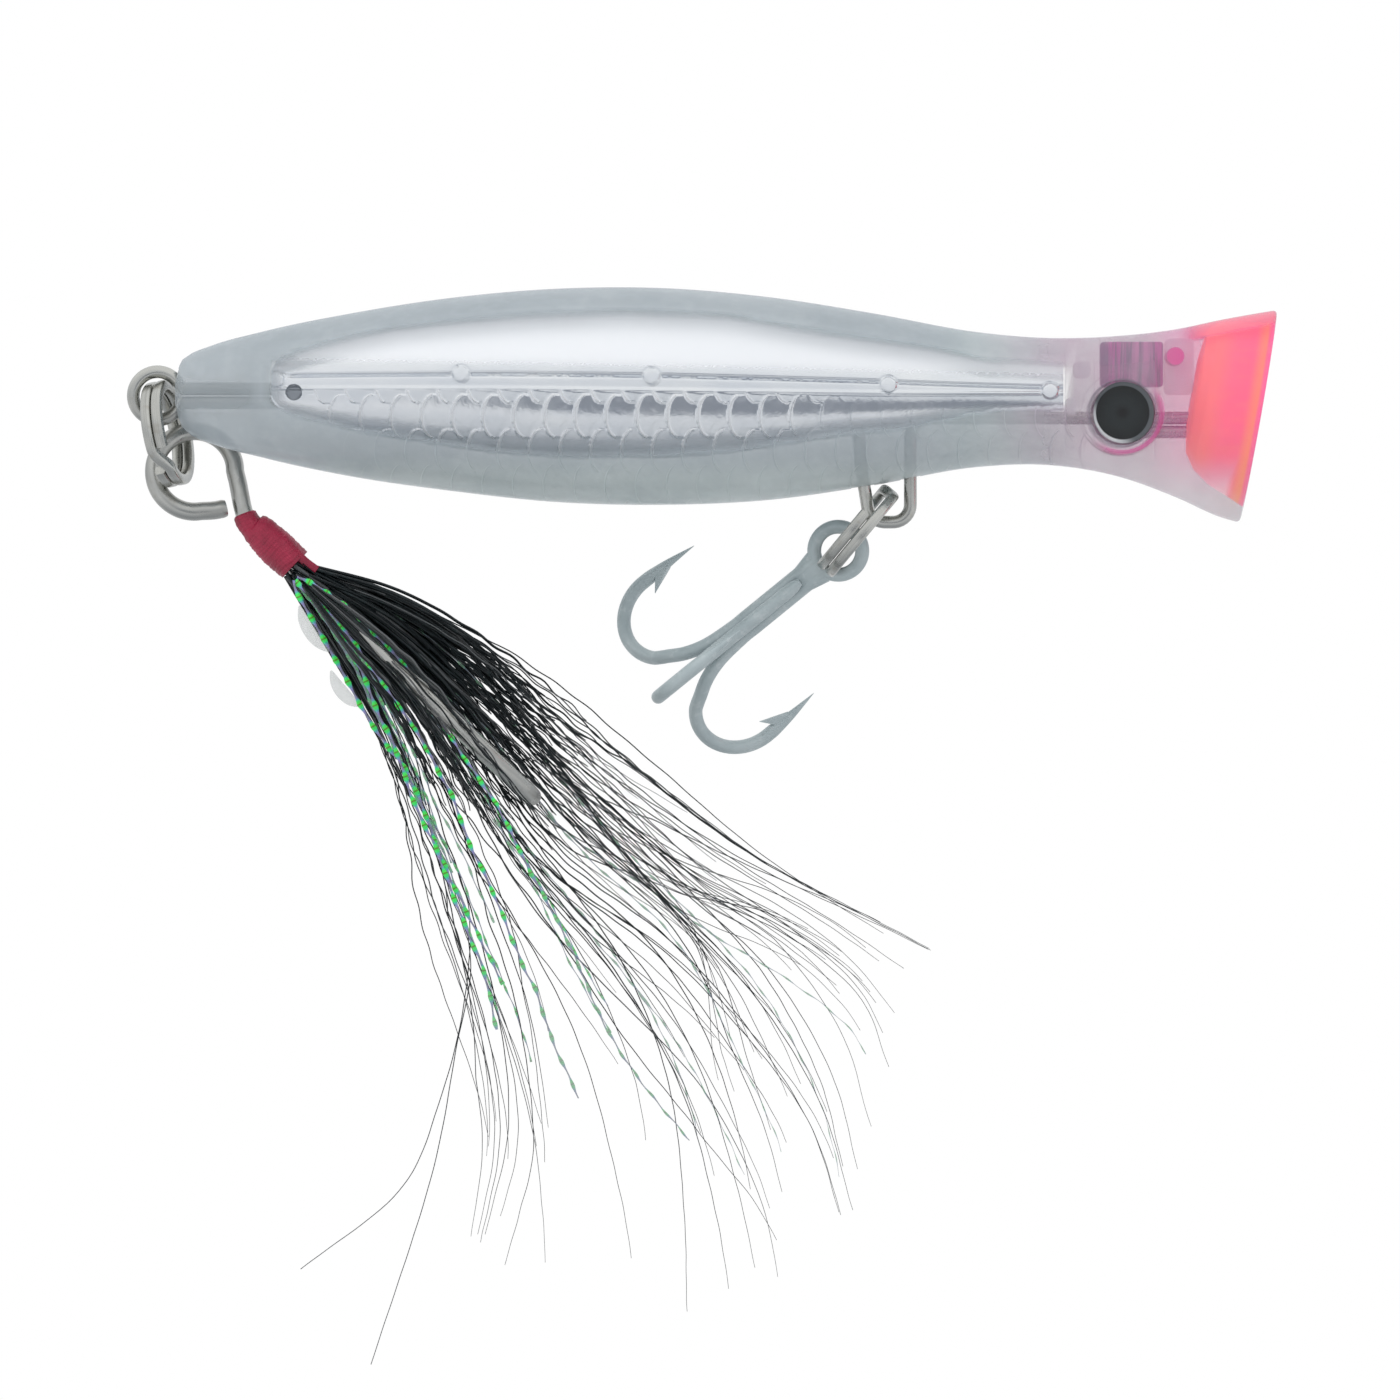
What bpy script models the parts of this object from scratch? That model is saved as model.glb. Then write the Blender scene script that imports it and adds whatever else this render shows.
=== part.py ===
"""Topwater popper with a clear two-half body, a foil insert, a through-wire, a belly treble and a dressed tail hook.

Frame: origin at the middle of the tow eye, +X towards the nose, +Y to the lure's left, +Z to its back.
Sizes below are in millimetres and become metres when a mesh or a curve is made.
"""

import math

import bmesh
import bpy
import numpy as np
from mathutils import Matrix, Vector

MM = 0.001

# Body: x, top, bottom and half width of each station, from the tail to just past the slanted face.
STATIONS = (
    (-100.5, 4.3, 1.6, 1.3),
    (-100.1, 5.7, 0.3, 2.5),
    (-99.2, 6.65, -0.8, 3.4),
    (-97.5, 7.4, -1.6, 4.1),
    (-92.0, 8.95, -3.15, 5.5),
    (-84.0, 10.6, -4.85, 7.0),
    (-74.0, 12.15, -6.3, 8.3),
    (-64.0, 13.0, -7.35, 9.0),
    (-54.0, 13.05, -7.6, 9.1),
    (-44.0, 12.2, -7.15, 8.6),
    (-34.0, 10.65, -5.75, 7.5),
    (-24.0, 8.85, -4.0, 6.1),
    (-17.5, 8.3, -3.8, 5.7),
    (-10.5, 8.5, -4.95, 6.3),
    (-5.0, 9.15, -6.95, 7.5),
    (-1.0, 10.0, -8.75, 8.8),
    (2.0, 10.55, -9.55, 9.6),
    (6.0, 11.2, -10.5, 10.3),
)
SECTION_COUNT = 30
ARC_POINTS = 13
SEAM_HALF = 0.15
WALL = 1.45
HEAD_WALL = 2.2
MAIN_CAVITY = (-93.0, -15.7)
HEAD_CAVITY = (-12.9, -7.2)

# Slanted face and the cup sunk into it. Cup sections: depth, low, high and half width in the face plane.
FACE_TOP = (4.48, 10.96)
FACE_BOTTOM = (0.95, -9.05)
CUP_SECTIONS = (
    (-2.0, -9.1, 9.2, 8.6),
    (0.0, -9.0, 9.1, 8.5),
    (1.5, -8.2, 8.6, 8.0),
    (3.5, -7.4, 8.4, 7.5),
    (5.2, -6.2, 8.0, 6.5),
    (6.2, -4.7, 7.2, 5.3),
    (6.6, -2.4, 4.6, 3.2),
)
CUP_SIDES = 24

# Locating pins between the halves: x, z and radius.
PINS = ((-95.6, 5.9, 0.75), (-95.6, -0.3, 0.6), (-14.3, 5.3, 0.7), (-5.6, 6.3, 0.85))
PIN_LENGTH = 1.6
PIN_CLEARANCE = 0.15

# Eyes
EYE_X = -10.36
EYE_Z = 1.09
EYE_YAW = math.radians(8.0)
SOCKET_RADIUS = 3.95
SOCKET_RISE = 0.35
RECESS_RADIUS = 3.1
RECESS_DEPTH = 1.15
EYE_RADIUS = 2.95
FOIL_THICKNESS = 0.3
EYE_STEP = 0.1
DOME_SKIRT = 0.45
DOME_RISE = 0.75

# Foil insert
INSERT_X = (-91.0, -16.2)
INSERT_INSET = 1.85
INSERT_THICKNESS = 0.45
INSERT_TOP_DEG = 84.0

# Through-wire
WIRE_RADIUS = 0.61
LEG_HALF = 0.66
TAIL_LOOP = (-102.2, 2.78)
TAIL_LOOP_RADIUS = 2.3
TOW_EYE_RADIUS = 1.87
HANGER_LEFT = (-35.15, -34.3)
HANGER_RIGHT = -30.46
HANGER_BOTTOM = -9.25
HANGER_CORNER = 1.65
CHANNEL_SIDE = 0.95

# Ballast barrels threaded on the wire: x of the middle, length, radius.
TAIL_WEIGHT = (-73.0, 9.0, 3.3)
BELLY_WEIGHT = (-50.5, 10.0, 3.9)
WEIGHT_BORE = 0.95

# Split rings
COIL_RADIUS = 0.52
COIL_PITCH = 1.06
RING_MEAN_RADIUS = 4.575
RING_START_DEG = 15.0
RING_TURN_DEG = 690.0
RING_STEP_DEG = 15.0

# Rest positions of the belly ring and the treble hook.
BELLY_PIVOT = (-32.6, 0.0, -6.95)
BELLY_STRAND = (-32.5, 0.0, -6.5)
BELLY_RING_DIRECTION = (-0.64, 0.0, -0.77)
TREBLE_EYE = (-37.3, 3.3, -11.95)
TREBLE_DIRECTION_DEG = 219.1
TREBLE_TILT_DEG = 6.5
TREBLE_WIRE = 0.63
TREBLE_LEG_HALF = 0.66
TREBLE_EYE_RADIUS = 2.3
TREBLE_THIRD_RISE = 1.14
TREBLE_THIRD_START = 4.6
TREBLE_BEND_START = 12.4
TREBLE_BEND_CENTRE = (17.1, 6.5)
TREBLE_BEND_RADIUS = 4.4
TREBLE_POINT = (11.0, 10.5)

# Rest positions of the tail ring and the tail hook.
TAIL_STRAND = (-102.38, 0.0, 3.55)
TAIL_RING_DIRECTION = (0.24, 0.2, -0.95)
TAIL_RING_TURN_DEG = 14.6
HOOK_EYE = (-98.74, 3.0, -4.38)
HOOK_DIRECTION_DEG = -43.8
HOOK_EYE_TURN_DEG = 15.0
HOOK_WIRE = 0.87
HOOK_EYE_RADIUS = 3.85
HOOK_LENGTH = 45.6
HOOK_GAPE = 17.0
HOOK_POINT_S = 22.2

# Thread wrap: distance along the shank and outer radius.
WRAP_PROFILE = (
    (7.2, 1.2),
    (7.4, 1.3),
    (8.3, 1.35),
    (8.6, 1.7),
    (9.1, 1.82),
    (12.9, 1.8),
    (14.0, 1.6),
    (14.4, 1.35),
)
WRAP_BORE = 1.02

# Skirt fans: outlines in the hook's plane as (along the shank, across it towards the lure's belly).
HAIR_OUTLINE = (
    (14.9, 1.5),
    (14.9, -1.5),
    (41.0, -10.0),
    (70.0, -24.0),
    (90.0, -27.0),
    (94.5, -8.5),
    (87.0, 5.0),
    (82.0, 15.7),
    (60.0, 10.7),
    (30.0, 6.8),
)
FLASH_OUTLINE = (
    (14.9, -1.3),
    (14.9, -1.9),
    (30.0, -8.0),
    (42.0, -13.0),
    (60.0, -47.9),
    (71.4, -50.2),
    (76.0, -30.0),
    (60.0, -10.0),
    (40.0, -3.4),
)
FAN_THICKNESS = 2.2
HAIR_OFFSET = 2.4
FLASH_OFFSET = 0.0

COLLECTION = "topwater_popper"
CUTTERS = "cutters"


# ---------------------------------------------------------------- scene helpers


def clear_scene():
    for obj in list(bpy.data.objects):
        bpy.data.objects.remove(obj, do_unlink=True)


def make_collection(name):
    collection = bpy.data.collections.new(name)
    bpy.context.scene.collection.children.link(collection)
    return collection


def make_material(name, colour, roughness, metallic=0.0, alpha=1.0):
    material = bpy.data.materials.new(name)
    material.use_nodes = True
    shader = material.node_tree.nodes["Principled BSDF"]
    shader.inputs["Base Color"].default_value = (*colour, 1.0)
    shader.inputs["Roughness"].default_value = roughness
    shader.inputs["Metallic"].default_value = metallic
    shader.inputs["Alpha"].default_value = alpha
    return material


def add_object(name, data, collection, material=None, origin=(0.0, 0.0, 0.0), parent=None):
    """Adds data already measured from origin, in metres, at that origin."""
    obj = bpy.data.objects.new(name, data)
    collection.objects.link(obj)
    base = parent["world"] if parent else (0.0, 0.0, 0.0)
    obj.location = Vector(origin) * MM - Vector(base)
    if parent:
        obj.parent = parent
    if material:
        data.materials.append(material)
    return obj


def add_pivot(name, place, collection, parent=None):
    pivot = add_object(name, None, collection, origin=place, parent=parent)
    pivot.empty_display_size = 0.005
    pivot["world"] = tuple(Vector(place) * MM)
    return pivot


def mesh_from(name, verts, faces, origin=(0.0, 0.0, 0.0)):
    mesh = bpy.data.meshes.new(name)
    mesh.from_pydata([(Vector(v) - Vector(origin)) * MM for v in verts], [], faces)
    tidy = bmesh.new()
    tidy.from_mesh(mesh)
    bmesh.ops.recalc_face_normals(tidy, faces=tidy.faces)
    tidy.to_mesh(mesh)
    tidy.free()
    return mesh


def smooth_shade(obj, angle=40.0):
    obj.data.shade_smooth()
    obj.data.set_sharp_from_angle(angle=math.radians(angle))


def add_cutter(name, mesh, collection):
    cutter = add_object(name, mesh, collection)
    cutter.hide_render = True
    cutter.display_type = "WIRE"
    return cutter


def box_cutter(name, low, high, collection, matrix=None):
    shape = bmesh.new()
    bmesh.ops.create_cube(shape, size=1.0)
    size = Vector(high) - Vector(low)
    middle = (Vector(high) + Vector(low)) / 2
    place = Matrix.Translation(middle * MM) @ Matrix.Diagonal((*(size * MM), 1.0))
    bmesh.ops.transform(shape, matrix=(matrix or Matrix()) @ place, verts=shape.verts)
    mesh = bpy.data.meshes.new(name)
    shape.to_mesh(mesh)
    shape.free()
    return add_cutter(name, mesh, collection)


def cylinder_mesh(name, radius, low, high, matrix, sides=32):
    """A cylinder from low to high along the local Z of matrix."""
    shape = bmesh.new()
    bmesh.ops.create_cone(
        shape,
        cap_ends=True,
        segments=sides,
        radius1=radius * MM,
        radius2=radius * MM,
        depth=(high - low) * MM,
    )
    move = matrix @ Matrix.Translation((0.0, 0.0, (low + high) / 2 * MM))
    bmesh.ops.transform(shape, matrix=move, verts=shape.verts)
    mesh = bpy.data.meshes.new(name)
    shape.to_mesh(mesh)
    shape.free()
    return mesh


def boolean(obj, cutter, operation="DIFFERENCE"):
    modifier = obj.modifiers.new(cutter.name, "BOOLEAN")
    modifier.operation = operation
    modifier.solver = "EXACT"
    modifier.object = cutter


# ---------------------------------------------------------------- curves and profiles


def wire_object(name, points, radius, collection, material, origin=(0.0, 0.0, 0.0), parent=None, taper=None):
    """A round wire through points, with its ends capped. taper gives each point's share of the radius."""
    curve = bpy.data.curves.new(name, "CURVE")
    curve.dimensions = "3D"
    curve.bevel_depth = radius * MM
    curve.bevel_resolution = 2
    curve.use_fill_caps = True
    spline = curve.splines.new("POLY")
    spline.points.add(len(points) - 1)
    for index, (point, place) in enumerate(zip(spline.points, points)):
        point.co = (*((Vector(place) - Vector(origin)) * MM), 1.0)
        point.radius = taper[index] if taper else 1.0
    return add_object(name, curve, collection, material, origin, parent)


def turned_object(name, profile, matrix, collection, material, steps=24, parent=None, origin=(0.0, 0.0, 0.0)):
    """A closed or axis-to-axis profile of (radius, height) pairs, turned about the local Z of matrix."""
    verts = [(radius * MM, 0.0, height * MM) for radius, height in profile]
    edges = [(i, i + 1) for i in range(len(verts) - 1)]
    if profile[0][0] > 0 and profile[-1][0] > 0:
        edges.append((len(verts) - 1, 0))
    mesh = bpy.data.meshes.new(name)
    mesh.from_pydata(verts, edges, [])
    obj = add_object(name, mesh, collection, material, origin, parent)
    base = Matrix.Translation(obj.location) @ matrix.to_3x3().to_4x4()
    obj.matrix_local = base
    screw = obj.modifiers.new("Turn", "SCREW")
    screw.steps = steps
    screw.render_steps = steps
    screw.use_merge_vertices = True
    screw.merge_threshold = 0.00001
    screw.use_smooth_shade = True
    return obj


def arc_points(centre, radius, start, end, step=15.0):
    """Points on a circle in the XZ plane, from start to end degrees."""
    count = max(2, int(round(abs(end - start) / step)) + 1)
    angles = np.radians(np.linspace(start, end, count))
    return [(centre[0] + radius * math.cos(a), centre[1] + radius * math.sin(a)) for a in angles]


def rounded_path(corners, step=22.5):
    """Points along straight runs joined by arcs. Each corner is (x, z, radius)."""
    points = [corners[0][:2]]
    for before, corner, after in zip(corners, corners[1:], corners[2:]):
        here = Vector(corner[:2])
        one = (Vector(before[:2]) - here).normalized()
        two = (Vector(after[:2]) - here).normalized()
        half = one.angle(two) / 2
        radius = corner[2]
        middle = here + (one + two).normalized() * radius / math.sin(half)
        start = here + one * radius / math.tan(half)
        end = here + two * radius / math.tan(half)
        first = math.atan2(start.y - middle.y, start.x - middle.x)
        turn = math.atan2(end.y - middle.y, end.x - middle.x) - first
        turn = (turn + math.pi) % (2 * math.pi) - math.pi
        count = max(2, int(abs(math.degrees(turn)) / step) + 2)
        for share in np.linspace(0.0, 1.0, count):
            angle = first + turn * share
            points.append((middle.x + radius * math.cos(angle), middle.y + radius * math.sin(angle)))
    points.append(corners[-1][:2])
    return points


def smooth_through(points, per_span=4):
    """A Catmull-Rom curve through points of any dimension."""
    padded = [2 * np.array(points[0]) - np.array(points[1])]
    padded += [np.array(p, float) for p in points]
    padded += [2 * np.array(points[-1]) - np.array(points[-2])]
    found = []
    for a, b, c, d in zip(padded, padded[1:], padded[2:], padded[3:]):
        for t in np.arange(per_span) / per_span:
            found.append(
                0.5 * (2 * b + (c - a) * t + (2 * a - 5 * b + 4 * c - d) * t**2 + (3 * b - a - 3 * c + d) * t**3)
            )
    found.append(padded[-2])
    return found


# ---------------------------------------------------------------- body shape


def station_value(x, column):
    """A smooth value of one station column at x."""
    xs = [s[0] for s in STATIONS]
    ys = [s[column] for s in STATIONS]
    slopes = np.gradient(ys, xs)
    i = int(np.clip(np.searchsorted(xs, x) - 1, 0, len(xs) - 2))
    span = xs[i + 1] - xs[i]
    t = (x - xs[i]) / span
    start = (2 * t**3 - 3 * t**2 + 1) * ys[i] + (t**3 - 2 * t**2 + t) * span * slopes[i]
    end = (-2 * t**3 + 3 * t**2) * ys[i + 1] + (t**3 - t**2) * span * slopes[i + 1]
    return float(start + end)


def section_at(x):
    """Middle height, half height and half width of the outside at x."""
    top, bottom = station_value(x, 1), station_value(x, 2)
    return (top + bottom) / 2, (top - bottom) / 2, station_value(x, 3)


def body_xs(low, high, count):
    """Section places, closer together near the tail end and the cup."""
    share = np.linspace(0.0, 1.0, count)
    eased = share - 0.035 * np.sin(2 * math.pi * share)
    return low + (high - low) * eased


def half_loft(name, xs, inset, side, flat):
    """A closed half of the body: D-shaped sections whose straight side is at y = side * flat."""
    rings = []
    for x in xs:
        middle, half, width = section_at(x)
        angles = np.radians(np.linspace(90.0, -90.0, ARC_POINTS))
        start = max(flat, 0.0)
        ring = [
            (x, side * (start + (width - inset - start) * math.cos(a)), middle + (half - inset) * math.sin(a))
            for a in angles
        ]
        if flat < 0:
            ring.append((x, side * flat, middle - half + inset))
            ring.append((x, side * flat, middle + half - inset))
        rings.append(ring)
    return loft_mesh(name, rings)


def loft_mesh(name, rings, origin=(0.0, 0.0, 0.0)):
    """Closed skin through rings of equal length, with a face at each end."""
    size = len(rings[0])
    verts = [v for ring in rings for v in ring]
    faces = [tuple(range(size)), tuple(range(len(verts) - size, len(verts)))]
    for r in range(len(rings) - 1):
        for i in range(size):
            j = (i + 1) % size
            faces.append((r * size + i, r * size + j, (r + 1) * size + j, (r + 1) * size + i))
    return mesh_from(name, verts, faces, origin)


def face_frame():
    """Middle of the face, its up direction and the direction into the body, in the XZ plane."""
    top, bottom = Vector(FACE_TOP), Vector(FACE_BOTTOM)
    up = (top - bottom).normalized()
    return (top + bottom) / 2, up, Vector((-up.y, up.x))


def cup_cutter(collection):
    middle, up, inward = face_frame()
    rings = []
    for depth, low, high, width in CUP_SECTIONS:
        ring = []
        for a in np.linspace(0.0, 2 * math.pi, CUP_SIDES, endpoint=False):
            along = (low + high) / 2 + (high - low) / 2 * math.sin(a)
            place = middle + inward * depth + up * along
            ring.append((place.x, width * math.cos(a), place.y))
        rings.append(ring)
    return add_cutter("cup_cutter", loft_mesh("cup_cutter", rings), collection)


def face_cutter(collection):
    """A block in front of the slanted face."""
    middle, up, inward = face_frame()
    turn = Matrix.Rotation(math.atan2(up.x, up.y), 4, "Y")
    place = Matrix.Translation(Vector((middle.x, 0.0, middle.y)) * MM) @ turn
    return box_cutter("face_cutter", (0.0, -20.0, -20.0), (20.0, 20.0, 20.0), collection, place)


def eye_matrix(side):
    """Frame of one eye on the body's surface, with its local Z pointing out."""
    middle, half, width = section_at(EYE_X)
    reach = width * math.sqrt(1.0 - ((EYE_Z - middle) / half) ** 2)
    out = Vector((-math.sin(EYE_YAW), side * math.cos(EYE_YAW), 0.0))
    across = Vector((0.0, 0.0, 1.0)).cross(out)
    frame = Matrix((across, out.cross(across), out)).transposed().to_4x4()
    frame.translation = Vector((EYE_X, side * reach, EYE_Z)) * MM
    return frame


# ---------------------------------------------------------------- body parts


def body_shell(name, side, collection, cutters, shared, material):
    xs = body_xs(STATIONS[0][0], STATIONS[-1][0], SECTION_COUNT)
    xs[1:4] = (-100.1, -99.3, -97.6)
    shell = add_object(name, half_loft(name, xs, 0.0, side, SEAM_HALF), collection, material)
    frame = eye_matrix(side)
    boss = cylinder_mesh(name + "_boss", SOCKET_RADIUS, -2.4, SOCKET_RISE, frame)
    boolean(shell, add_cutter(name + "_boss", boss, cutters), "UNION")
    main = half_loft(name + "_main", np.linspace(*MAIN_CAVITY, 18), WALL, side, -1.0)
    boolean(shell, add_cutter(name + "_main", main, cutters))
    head = half_loft(name + "_head", np.linspace(*HEAD_CAVITY, 4), HEAD_WALL, side, -1.0)
    boolean(shell, add_cutter(name + "_head", head, cutters))
    recess = cylinder_mesh(name + "_recess", RECESS_RADIUS, -RECESS_DEPTH, 2.0, frame)
    boolean(shell, add_cutter(name + "_recess", recess, cutters))
    for cutter in shared:
        boolean(shell, cutter)
    across = Matrix.Rotation(math.pi / 2, 4, "X")
    for index, (x, z, radius) in enumerate(PINS):
        place = Matrix.Translation(Vector((x, 0.0, z)) * MM) @ across
        if side < 0:
            pin = cylinder_mesh(f"pin_{index}", radius, -PIN_LENGTH, 1.0, place, 16)
            boolean(shell, add_cutter(f"pin_{index}", pin, cutters), "UNION")
        else:
            hole = cylinder_mesh(
                f"socket_{index}", radius + PIN_CLEARANCE, -PIN_LENGTH - 0.4, 1.0, place, 16
            )
            boolean(shell, add_cutter(f"socket_{index}", hole, cutters))
    smooth_shade(shell)
    return shell


def wire_channels(collection):
    """Slots at the seam that the through-wire lies in."""
    side = CHANNEL_SIDE
    tail_low, tail_high = TAIL_LOOP[1] - LEG_HALF - side, TAIL_LOOP[1] + LEG_HALF + side
    slots = [
        ("tail_slot", (-102.0, -side, tail_low), (MAIN_CAVITY[0] + 1.0, side, tail_high)),
        ("tail_mouth", (-102.0, -side, TAIL_LOOP[1] - 2.6), (-99.3, side, TAIL_LOOP[1] + 2.6)),
        ("head_slot", (MAIN_CAVITY[1] - 1.0, -side, -0.3), (-9.0, side, LEG_HALF + side)),
        ("nose_slot", (HEAD_CAVITY[1] - 1.0, -side, -LEG_HALF - side), (-3.4, side, LEG_HALF + side)),
        ("hanger_slot_rear", (-36.1, -side, -9.0), (-33.9, side, -3.0)),
        ("hanger_slot_front", (HANGER_RIGHT - side, -side, -9.0), (HANGER_RIGHT + side, side, -3.0)),
    ]
    return [box_cutter(name, low, high, collection) for name, low, high in slots]


def foil_insert(name, side, collection, material):
    """A curved panel just inside the shell, from near the top of the seam to below the middle."""
    xs = np.linspace(*INSERT_X, 22)
    columns = 11
    verts = []
    for x in xs:
        middle, half, width = section_at(x)
        share = (x - INSERT_X[0]) / (INSERT_X[1] - INSERT_X[0])
        rounding = math.sqrt(max(0.0, 1.0 - max(0.0, 1.0 - share / 0.05) ** 2))
        top = math.radians(20.0 + (INSERT_TOP_DEG - 20.0) * rounding)
        lower = math.radians(-8.0 - 32.0 * math.sin(math.pi * min(1.0, 0.06 + share * 0.94)) ** 0.5)
        for a in np.linspace(top, lower, columns):
            verts.append(
                (
                    x,
                    side * (width - INSERT_INSET) * math.cos(a),
                    middle + (half - INSERT_INSET) * math.sin(a),
                )
            )
    faces = []
    for r in range(len(xs) - 1):
        for c in range(columns - 1):
            i = r * columns + c
            face = (i, i + 1, i + columns + 1, i + columns)
            faces.append(face if side < 0 else face[::-1])
    mesh = bpy.data.meshes.new(name)
    mesh.from_pydata([Vector(v) * MM for v in verts], [], faces)
    insert = add_object(name, mesh, collection, material)
    solid = insert.modifiers.new("Thickness", "SOLIDIFY")
    solid.thickness = INSERT_THICKNESS * MM
    solid.offset = -1.0
    smooth_shade(insert)
    return insert


def through_wire(collection, material):
    """One wire: tail loop, run forward, belly hanger, run forward, tow eye."""
    tail_x, tail_z = TAIL_LOOP
    high, low = tail_z + LEG_HALF, tail_z - LEG_HALF
    open_deg = math.degrees(math.asin(LEG_HALF / TAIL_LOOP_RADIUS))
    path = [(-90.5, high)]
    path += arc_points(TAIL_LOOP, TAIL_LOOP_RADIUS, open_deg, 360.0 - open_deg)
    hanger = rounded_path(
        [
            (path[-1][0] + 1.0, low),
            (-35.6, low, 2.0),
            (HANGER_LEFT[0], -4.0, 6.0),
            (HANGER_LEFT[1], HANGER_BOTTOM, HANGER_CORNER),
            (HANGER_RIGHT, HANGER_BOTTOM, HANGER_CORNER),
            (HANGER_RIGHT, LEG_HALF, 2.0),
            (-2.6, LEG_HALF),
        ]
    )
    path += hanger
    eye_open = math.degrees(math.asin(LEG_HALF / TOW_EYE_RADIUS))
    path += arc_points((0.0, 0.0), TOW_EYE_RADIUS, 180.0 - eye_open, -180.0 + eye_open, 20.0)
    path.append((-12.0, -LEG_HALF))
    points = [(x, 0.0, z) for x, z in path]
    return wire_object("through_wire", points, WIRE_RADIUS, collection, material)


def ballast(name, size, z, collection, material):
    """A barrel with a bore, threaded on the wire that runs at height z."""
    x, length, radius = size
    half, edge = length / 2, 0.6
    profile = [
        (WEIGHT_BORE, half),
        (radius - edge, half),
        (radius, half - edge),
        (radius, -half + edge),
        (radius - edge, -half),
        (WEIGHT_BORE, -half),
    ]
    turn = Matrix.Rotation(math.pi / 2, 4, "Y")
    return turned_object(name, profile, turn, collection, material, 20, origin=(x, 0.0, z))


def eye_parts(label, side, collection, foil_material, dome_material):
    frame = eye_matrix(side)
    place = tuple(frame.translation / MM)
    floor = -RECESS_DEPTH + EYE_STEP
    foil = [(0.0, floor + FOIL_THICKNESS), (EYE_RADIUS, floor + FOIL_THICKNESS), (EYE_RADIUS, floor), (0.0, floor)]
    turned_object(f"eye_foil_{label}", foil, frame, collection, foil_material, 24, origin=place)
    base = floor + FOIL_THICKNESS + EYE_STEP
    shoulder = base + DOME_SKIRT
    dome = []
    for a in np.radians(np.linspace(90.0, 0.0, 6)):
        dome.append((EYE_RADIUS * math.cos(a), shoulder + DOME_RISE * math.sin(a)))
    dome[0] = (0.0, dome[0][1])
    dome += [(EYE_RADIUS, base), (0.0, base)]
    turned_object(f"eye_dome_{label}", dome, frame, collection, dome_material, 24, origin=place)


# ---------------------------------------------------------------- rings and hooks


def split_ring(name, strand, direction, turn_deg, start_deg, collection, material, origin, parent):
    """Two flat coils joined by a short crossing. The strand is the point held by the hanger."""
    down = Vector(direction).normalized()
    side = Vector((0.0, 1.0, 0.0))
    side = (side - down * side.dot(down)).normalized()
    side = Matrix.Rotation(math.radians(turn_deg), 3, down) @ side
    axial = down.cross(side)
    centre = Vector(strand) + down * RING_MEAN_RADIUS
    points = []
    count = int(RING_TURN_DEG / RING_STEP_DEG) + 1
    for index in range(count):
        angle = RING_START_DEG + index * RING_STEP_DEG
        share = min(1.0, max(0.0, (angle - 345.0) / 30.0))
        lift = COIL_PITCH * (share - 0.5)
        a = math.radians(angle + start_deg)
        around = down * math.cos(a) + side * math.sin(a)
        points.append(centre + around * RING_MEAN_RADIUS + axial * lift)
    return wire_object(name, points, COIL_RADIUS, collection, material, origin, parent)


def hook_frame(angle_deg, tilt_deg=0.0):
    """Shank direction, across direction and viewing normal of a hook whose shank points at angle_deg in XZ."""
    a, t = math.radians(angle_deg), math.radians(tilt_deg)
    flat = Vector((math.cos(a), 0.0, math.sin(a)))
    away = Vector((0.0, 1.0, 0.0))
    shank = flat * math.cos(t) + away * math.sin(t)
    normal = away * math.cos(t) - flat * math.sin(t)
    return shank, shank.cross(normal), normal


def bend_profile(start_offset):
    """(along, out) of one treble arm from the end of the straight shank to its point."""
    cs, cr = TREBLE_BEND_CENTRE
    radius = TREBLE_BEND_RADIUS
    arc = arc_points((cs, cr), radius, -58.0, 92.0, 15.0)
    lead = smooth_through(
        [
            (TREBLE_BEND_START, start_offset),
            (TREBLE_BEND_START + 3.0, start_offset + 0.28),
            (TREBLE_BEND_START + 5.3, start_offset + 1.0),
            arc[0],
        ],
        3,
    )
    return [tuple(p) for p in lead[:-1]] + arc + [(14.0, 10.8), TREBLE_POINT]


def arm_points(eye, shank, start, out):
    """World points of an arm that leaves the shank at offset start and spreads towards out."""
    points = []
    for along, reach in bend_profile(start.length):
        share = min(1.0, max(0.0, (reach - start.length) / 3.0))
        heading = (start.normalized() * (1.0 - share) + out * share).normalized()
        points.append(eye + shank * along + heading * reach)
    return points


def taper_for(count, pointed_ends):
    """Full radius everywhere, less the last two points at each pointed end."""
    shares = [1.0] * count
    if "start" in pointed_ends:
        shares[0], shares[1] = 0.1, 0.78
    if "end" in pointed_ends:
        shares[-1], shares[-2] = 0.1, 0.78
    return shares


def treble(collection, material, origin, parent):
    eye = Vector(TREBLE_EYE)
    shank, across, normal = hook_frame(TREBLE_DIRECTION_DEG, TREBLE_TILT_DEG)
    spread = math.radians(30.0)
    arms = []
    for sign in (1.0, -1.0):
        out = across * sign * math.cos(spread) + normal * math.sin(spread)
        arms.append(arm_points(eye, shank, across * sign * TREBLE_LEG_HALF, out))
    opening = math.degrees(math.asin(TREBLE_LEG_HALF / TREBLE_EYE_RADIUS))
    loop = [
        eye + shank * s + across * c
        for s, c in arc_points((0.0, 0.0), TREBLE_EYE_RADIUS, opening, 360.0 - opening, 18.0)
    ]
    points = arms[0][::-1] + loop + arms[1]
    wire_object(
        "treble_double_hook",
        points,
        TREBLE_WIRE,
        collection,
        material,
        origin,
        parent,
        taper_for(len(points), ("start", "end")),
    )
    third = [eye + shank * TREBLE_THIRD_START - normal * TREBLE_THIRD_RISE]
    third += arm_points(eye, shank, -normal * TREBLE_THIRD_RISE, -normal)
    wire_object(
        "treble_third_hook",
        third,
        TREBLE_WIRE,
        collection,
        material,
        origin,
        parent,
        taper_for(len(third), ("end",)),
    )


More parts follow.
